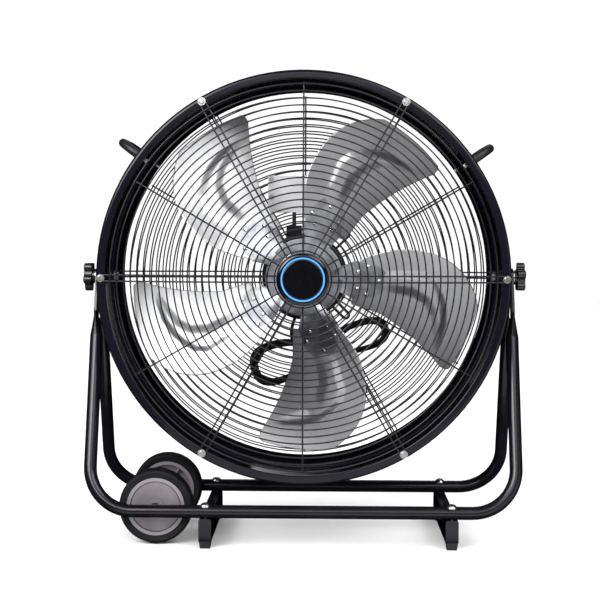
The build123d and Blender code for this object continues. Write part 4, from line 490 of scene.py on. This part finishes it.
# a note above an entry says what the surface of that piece gives the eye
materials = {
    # bent tube and folded channels, black and mirror-like
    "standCoat": powderCoat("standCoat", "#08070c", 0.18, peel=0.12, dustAndSheen="#15131c"),
    "drumEnamel": drumEnamel(),
    # wire and plates dipped in hot powder, black with softer highlights
    "dippedWire": powderCoat("dippedWire", "#0a090d", 0.3, peel=0.1, dustAndSheen="#1f1d26"),
    # motor housings, charcoal and dull with a coarse peel
    "motorCoat": powderCoat("motorCoat", "#101014", 0.42, peel=0.4, dustAndSheen="#24242a"),
    # folded sheet, a satin charcoal
    "boxCoat": powderCoat("boxCoat", "#121216", 0.38, peel=0.3),
    "zincPlate": zincPlate("zincPlate", 0.28),
    # turned bar, bright
    "axleSteel": turnedSteel("axleSteel", "#b4b6b8", 0.24),
    # turned steel, greyer and a little duller
    "rotorSteel": turnedSteel("rotorSteel", "#9a9c9e", 0.3),
    # moulded rubber, a dull black with a coarse skin
    "footRubber": mouldedPlastic("footRubber", "#151517", "#26262a", 0.6, grain=1.2, strength=0.35),
    # moulded soft rubber, a black satin
    "gripRubber": mouldedPlastic("gripRubber", "#0e0d11", "#1f1e25", 0.42, grain=1.6, strength=0.25),
    "tyreRubber": tyreRubber(),
    "wheelPolypropylene": wheelPolypropylene(),
    # moulded nylon, an even black satin
    "spacerNylon": mouldedPlastic("spacerNylon", "#101013", "#202025", 0.4, grain=1.5),
    # pressed phenolic resin, glossy black under a thin clear skin
    "knobPhenolic": mouldedPlastic("knobPhenolic", "#0c0c0f", "#1a1a20", 0.3, grain=2.0, coat=0.3),
    # moulded ABS with an etched skin, matt charcoal
    "coverAbs": mouldedPlastic("coverAbs", "#131316", "#222227", 0.45, grain=1.0, strength=0.35),
    # moulded ABS, a mid-grey satin
    "badgeGrey": mouldedPlastic("badgeGrey", "#4a4b50", "#63646a", 0.35, grain=2.0),
    "badgeBlack": badgeBlack(),
    "badgeGuide": badgeGuide(),
    "rolledAluminium": rolledAluminium(),
    "spiderSteel": spiderSteel(),
    "rivetAluminium": zincPlate("rivetAluminium", 0.2),
    "laminatedSteel": laminatedSteel(),
    "enamelledCopper": enamelledCopper(),
    # bearing rings, the brightest steel
    "bearingSteel": turnedSteel("bearingSteel", "#c4c6c8", 0.16),
    # moulded can, off-white with a soft shine
    "capacitorCan": mouldedPlastic("capacitorCan", "#d4d2ca", "#e6e4dd", 0.4, grain=2.0),
    # enamel paint on flat sheet, pale grey with a fine peel
    "platePaint": mouldedPlastic("platePaint", "#dcdcdf", "#ededf0", 0.34, grain=1.4, strength=0.15),
    # PVC moulded on the cord, dull black
    "plugRubber": mouldedPlastic("plugRubber", "#111113", "#212125", 0.5, grain=1.1, strength=0.3),
    # moulded nylon strap, a black satin
    "tieNylon": mouldedPlastic("tieNylon", "#0d0d0f", "#1b1b1f", 0.42, grain=2.0),
    # turned brass, a warm yellow metal
    "pinBrass": turnedSteel("pinBrass", "#c9a65c", 0.25),
}
print("materials made:", len(materials))

# finishes: the CAD nodes that each material covers
finishes = {
    "standCoat": ("stand_tube_front", "stand_tube_rear", "foot_channel_left", "foot_channel_right"),
    "drumEnamel": ("drum_shell",),
    "dippedWire": ("front_guard_rings", "front_guard_spokes", "rear_guard_rings", "rear_guard_spokes",
                   "guard_hub_plate", "motor_mount"),
    "motorCoat": ("motor_housing_front", "motor_housing_rear"),
    "boxCoat": ("control_box",),
    "zincPlate": ("pan_screws", "handle_screws", "motor_bolts", "bracket_bolts", "pivot_bolts",
                  "clamp_washer_left", "clamp_washer_right"),
    "axleSteel": ("wheel_axle",),
    "rotorSteel": ("rotor",),
    "footRubber": ("rubber_feet",),
    "gripRubber": ("handle_left", "handle_right"),
    "tyreRubber": ("front_wheel_tyre", "rear_wheel_tyre"),
    "wheelPolypropylene": ("front_wheel_rim", "rear_wheel_rim"),
    "spacerNylon": ("axle_spacers", "pivot_spacers"),
    "knobPhenolic": ("clamp_knob_left", "clamp_knob_right", "speed_knob"),
    "coverAbs": ("switch_cover", "rotary_switch"),
    "badgeGrey": ("badge_base",),
    "badgeBlack": ("badge_bezel", "badge_disc"),
    "badgeGuide": ("badge_ring",),
    "spiderSteel": ("spider",),
    "rivetAluminium": ("blade_rivets",),
    "laminatedSteel": ("stator",),
    "enamelledCopper": ("windings",),
    "bearingSteel": ("bearings",),
    "capacitorCan": ("capacitor",),
    "platePaint": ("control_plate",),
    "plugRubber": ("plug_body", "strain_relief", "motor_lead"),
    "tieNylon": ("cord_tie",),
    "pinBrass": ("plug_pins",),
}
for finish, names in finishes.items():
    for name in names:
        for holder in nodes[name].material_slots:
            holder.material = materials[finish]
print("finishes given")

# blade: pressed aluminium sheet. A point of an outline is how far out from the axis and how far across
# the blade it lies; a section is a radius, a pitch in degrees and the depth of its dish; the middle is
# in metres. The boss's two lines and slopes shape the stiffening boss
blade = {
    "angles": (69.5, -2.5, -74.5, -146.5, 141.5),
    "middle": (0.0, -0.034, hubHeight),
    "sheet": 1.8,
    "sections": ((146.0, 34.0, 0.0), (200.0, 31.0, 5.0), (254.0, 27.0, 8.5), (310.0, 23.0, 9.0)),
    "halfChord": 190.0,
    "grid": (110, 72),
    "arcPlaces": 60,
    "straightPlaces": 80,
    "cornerPlaces": 12,
    "root": ((84.0, -43.0), (88.0, 30.0)),
    "roundEdge": ((150, 54.6), (205, 54), (270, 23.5)),
    "straightEdge": ((134, -57), (200, -102), (249.5, -150.5)),
    "tipCorner": ((257.5, -153.4), (263.5, -153.2), (268.3, -147.0), (273.5, -137.1)),
    "tipRadius": 306.0,
    "tipAcross": (-34.0, -86.0),
    "bossInner": ((116, -26), (150, -20), (186, -24), (210, -38), (222, -58), (228, -90), (233, -126),
                  (236, -150)),
    "bossOuter": ((104, 25), (150, 21), (208, 20), (230, 6), (243, -15), (252, -40), (254, -70),
                  (248, -101), (238, -126), (232, -150)),
    "bossHeight": 6.0,
    "innerSlope": 18.0,
    "outerSlope": 15.0,
    "bossStart": 132.0,
    "startSlope": 40.0,
}


def arcThrough(first, middle, last, count):
    # places spread evenly along the circle's arc through three points of a plane
    first, middle, last = (np.array(p, float) for p in (first, middle, last))
    a, b = middle - first, last - first
    cross = 2 * (a[0] * b[1] - a[1] * b[0])
    centre = first + np.array([b[1] * a @ a - a[1] * b @ b, a[0] * b @ b - b[0] * a @ a]) / cross
    start, mid, end = (np.arctan2(*(p - centre)[::-1]) for p in (first, middle, last))
    turn = (end - start) % (2 * np.pi)
    if (mid - start) % (2 * np.pi) > turn:
        turn -= 2 * np.pi
    angle = start + turn * np.linspace(0, 1, count)
    return centre + np.linalg.norm(first - centre) * np.stack([np.cos(angle), np.sin(angle)], axis=-1)


def evenly(line, count):
    # the same line with its places the same distance apart
    reached = np.concatenate([[0], np.cumsum(np.linalg.norm(np.diff(line, axis=0), axis=1))])
    wanted = np.linspace(0, reached[-1], count)
    return np.stack([np.interp(wanted, reached, line[:, k]) for k in (0, 1)], axis=-1)


def distanceTo(line, u, t):
    # how far each place of the grid is from a broken line, and on which side of it it lies
    best = np.full(u.shape, np.inf)
    side = np.ones(u.shape)
    for (x0, y0), (x1, y1) in zip(line, line[1:]):
        dx, dy = x1 - x0, y1 - y0
        share = np.clip(((u - x0) * dx + (t - y0) * dy) / (dx * dx + dy * dy), 0, 1)
        far = np.hypot(u - x0 - share * dx, t - y0 - share * dy)
        cross = dx * (t - y0) - dy * (u - x0)
        side = np.where(far < best, np.sign(cross), side)
        best = np.minimum(best, far)
    return best, side


def smoothStep(value):
    # 3 x squared less 2 x cubed: it rises from 0 to 1 and is level at both ends
    value = np.clip(value, 0, 1)
    return value * value * (3 - 2 * value)


def bladeHeight(u, t):
    # how far in front of the blades' middle plane the sheet lies: at each of four radii the section is
    # a shallow parabola across the pitched chord, solved in three rounds, and a cubic through the four
    # joins them along the radius; inside the first radius the sheet is flat
    heights = []
    for radius, pitch, camber in blade["sections"]:
        p = radians(pitch)
        chord = t / np.cos(p)
        for repeat in range(3):
            dish = camber * (1 - (chord / blade["halfChord"]) ** 2)
            chord = (t - dish * np.sin(p)) / np.cos(p)
        heights.append(chord * np.sin(p) - dish * np.cos(p))
    radii = [section[0] for section in blade["sections"]]
    total = np.zeros(u.shape)
    for i, height in enumerate(heights):
        weight = np.ones(u.shape)
        for j, other in enumerate(radii):
            if j != i:
                weight *= (u - other) / (radii[i] - other)
        total += weight * height
    return np.where(u < radii[0], t * np.tan(radians(blade["sections"][0][1])), total)


def bladePressing(u, t):
    # a stiffening boss is pressed forwards between two lines: it runs out along the blade's middle, turns
    # along the tip and narrows to nothing. Its height is bossHeight x a smooth step in from the inner
    # line x one in from the outer line x one out from its start
    fromInner, innerSide = distanceTo(blade["bossInner"], u, t)
    fromOuter, outerSide = distanceTo(blade["bossOuter"], u, t)
    rise = smoothStep(np.where(innerSide > 0, fromInner, 0) / blade["innerSlope"])
    fall = smoothStep(np.where(outerSide < 0, fromOuter, 0) / blade["outerSlope"])
    return blade["bossHeight"] * rise * fall * smoothStep((u - blade["bossStart"]) / blade["startSlope"])


def bladeOutline():
    # evenly spaced places along the round edge, the straight edge, the root and the tip
    rows, columns = blade["grid"]
    root, near, far, corner = (blade[name] for name in ("root", "roundEdge", "straightEdge", "tipCorner"))
    tip, places = blade["tipRadius"], blade["arcPlaces"]
    tipStart, tipMiddle = ((np.sqrt(tip**2 - across**2), across) for across in blade["tipAcross"])
    roundEdge = np.vstack([arcThrough(root[1], near[0], near[1], places)[:-1],
                           arcThrough(near[1], near[2], tipStart, places)])
    straightEdge = np.vstack([root[:1], arcThrough(*far, blade["straightPlaces"])])
    tipLine = np.vstack([far[2:], arcThrough(*corner[:3], blade["cornerPlaces"]),
                         arcThrough(corner[3], tipMiddle, tipStart, places)])
    return (evenly(roundEdge, rows), evenly(straightEdge, rows),
            evenly(np.array(root), columns), evenly(tipLine, columns))


def bladePiece(number, angle):
    # a Coons patch fills the outline: each place is the mix of the two long edges plus the mix of the
    # root and the tip, less the mix of the four corners
    plus, minus, root, crown = bladeOutline()
    s = np.linspace(0, 1, len(plus))[:, None, None]
    q = np.linspace(0, 1, len(root))[None, :, None]
    flat = ((1 - q) * minus[:, None] + q * plus[:, None] + (1 - s) * root[None] + s * crown[None]
            - (1 - s) * (1 - q) * root[0] - (1 - s) * q * root[-1]
            - s * (1 - q) * crown[0] - s * q * crown[-1])
    u, t = flat[..., 0], flat[..., 1]
    height = bladeHeight(u, t) + bladePressing(u, t)
    a = radians(angle)
    x = u * np.cos(a) - t * np.sin(a)
    z = u * np.sin(a) + t * np.cos(a)
    points = np.stack([x, -height, z], axis=-1) / 1000.0 + np.array(blade["middle"])
    mesh = gridMesh(f"bladeSheet{number}", points)
    layer = mesh.uv_layers.new(name="sheet")
    corner = np.zeros(len(mesh.loops), np.int32)
    mesh.loops.foreach_get("vertex_index", corner)
    layer.data.foreach_set("uv", (np.stack([u.ravel(), t.ravel()], axis=-1)[corner] / 1000.0).ravel())
    piece = showObject(mesh, materials["rolledAluminium"])
    wall = piece.modifiers.new("sheet", "SOLIDIFY")
    wall.thickness = blade["sheet"] / 1000.0
    wall.offset = -1.0
    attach(piece, "impeller")
    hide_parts(f"blade_{number}")


for number, angle in enumerate(blade["angles"], start=1):
    bladePiece(number, angle)
print("blades pressed:", len(blade["angles"]))

# tie: a nylon strap round the hank's waist and one ring of the guard
tie = {"width": 0.009, "thickness": 0.0012, "waistHalf": 0.0076, "corner": 0.0022, "roundness": 0.35,
       "steps": 160, "sides": 24}


def tiePiece():
    # the strap's path is a rectangle with round corners, in depth and across the hank; its section is
    # the sign x the size to the power roundness of a circle's cosine and sine, which squares a circle
    low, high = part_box("cord_tie")
    tilt = radians(cord["tilt"])
    alongAxis = np.array([np.cos(tilt), 0, np.sin(tilt)])
    acrossAxis = np.array([-np.sin(tilt), 0, np.cos(tilt)])
    middle = np.array([cord["middle"][0], (high.y + low.y) / 2, cord["middle"][2]])
    depthHalf = (high.y - low.y) / 2 - tie["thickness"] / 2
    acrossHalf = tie["waistHalf"] + tie["thickness"] / 2
    angle = np.linspace(0, 2 * np.pi, tie["steps"], endpoint=False)
    facing = np.stack([np.cos(angle), np.sin(angle)], axis=-1)
    depth, across = (np.sign(facing) * (np.array([depthHalf, acrossHalf]) - tie["corner"])
                     + tie["corner"] * facing).T
    around = np.linspace(0, 2 * np.pi, tie["sides"], endpoint=False)
    widthPart, thickPart = (np.sign(wave) * np.abs(wave) ** tie["roundness"] * size / 2 for wave, size in
                            ((np.cos(around), tie["width"]), (np.sin(around), tie["thickness"])))
    depthGrid = depth[:, None] + facing[:, :1] * thickPart[None]
    acrossGrid = across[:, None] + facing[:, 1:] * thickPart[None]
    points = (middle + depthGrid[..., None] * np.array([0, 1.0, 0]) + acrossGrid[..., None] * acrossAxis
              + np.broadcast_to(widthPart[None, :, None], (*depthGrid.shape, 1)) * alongAxis)
    piece = showObject(gridMesh("hankStrap", points, closed=True), materials["tieNylon"])
    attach(piece, "drum")
    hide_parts("cord_tie")
    return piece


hankStrap = tiePiece()
print("tie made")

# studio: a pale floor and sky, and lamps that are even rectangles of light; all but low aim at the fan's
# middle
studio = {"floor": "#fafafa", "floorHalf": 9.0, "floorGrid": 7, "floorDrop": 0.0002,
          "sky": "#ffffff", "skyStrength": 1.1}
lamps = {
    "front": {"place": (0.1, -3.2, 1.75), "size": (3.0, 1.3), "radiance": 2.2},
    "frontLeft": {"place": (-1.2, -2.2, 1.5), "size": (1.2, 1.0), "radiance": 6.5},
    "upperLeft": {"place": (-2.1, -2.6, 2.5), "size": (3.0, 2.7), "radiance": 4.6},
    "upperRight": {"place": (2.0, -2.25, 2.95), "size": (2.5, 2.2), "radiance": 4.6},
    "rightSide": {"place": (2.9, -1.7, 0.5), "size": (1.4, 1.4), "radiance": 0.8},
    "behind": {"place": (0.4, 2.6, 2.9), "size": (2.4, 1.4), "radiance": 0.9},
    "low": {"place": (0.9, -0.9, 0.002), "size": (2.6, 1.4), "radiance": 1.0, "aim": (0.9, -0.9, 1.0)},
}


def studioPaint():
    # studioPaint: rolled matt wall paint, an even white with a grain 3 mm across
    material, tree, shader, place = startMaterial("studioPaint", studio["floor"], 0.9)
    grain = addNode(tree, "ShaderNodeTexNoise", {"Scale": markScale(3.33), "Detail": 2.0}, {"Vector": place})
    bump = addNode(tree, "ShaderNodeBump", {"Strength": 0.05, "Distance": 0.0005},
                   {"Height": grain.outputs["Fac"]})
    tree.links.new(bump.outputs["Normal"], shader.inputs["Normal"])
    return material


def studioFloor():
    # a flat square grid just under the feet, seen by the camera but not mirrored in the paint
    sides = np.linspace(-studio["floorHalf"], studio["floorHalf"], studio["floorGrid"])
    x, y = np.meshgrid(sides, sides, indexing="ij")
    points = np.stack([x, y, np.full(x.shape, -studio["floorDrop"])], axis=-1)
    floor = showObject(gridMesh("studioFloor", points[::-1]), studioPaint())
    floor.visible_glossy = False


def softBox(name, place, size, radiance, aim=(0.0, 0.0, 0.45)):
    # the power of an even rectangle of light is its radiance x pi x its area
    light = bpy.data.lights.new(name, "AREA")
    light.shape = "RECTANGLE"
    light.size, light.size_y = size
    light.energy = radiance * np.pi * light.size * light.size_y
    lamp = bpy.data.objects.new(name, light)
    lamp.location = place
    lamp.rotation_euler = (Vector(aim) - Vector(place)).to_track_quat("-Z", "Y").to_euler()
    lamp.visible_camera = False
    bpy.context.scene.collection.objects.link(lamp)


studioFloor()
world = bpy.data.worlds.new("studio")
bpy.context.scene.world = world
world.use_nodes = True
sky = world.node_tree.nodes["Background"].inputs
sky["Color"].default_value = linearColour(studio["sky"])
sky["Strength"].default_value = studio["skyStrength"]
world.cycles_visibility.glossy = False
bpy.context.scene.view_settings.view_transform = "Standard"
for name, facts in lamps.items():
    softBox(name, **facts)
print("studio lit")
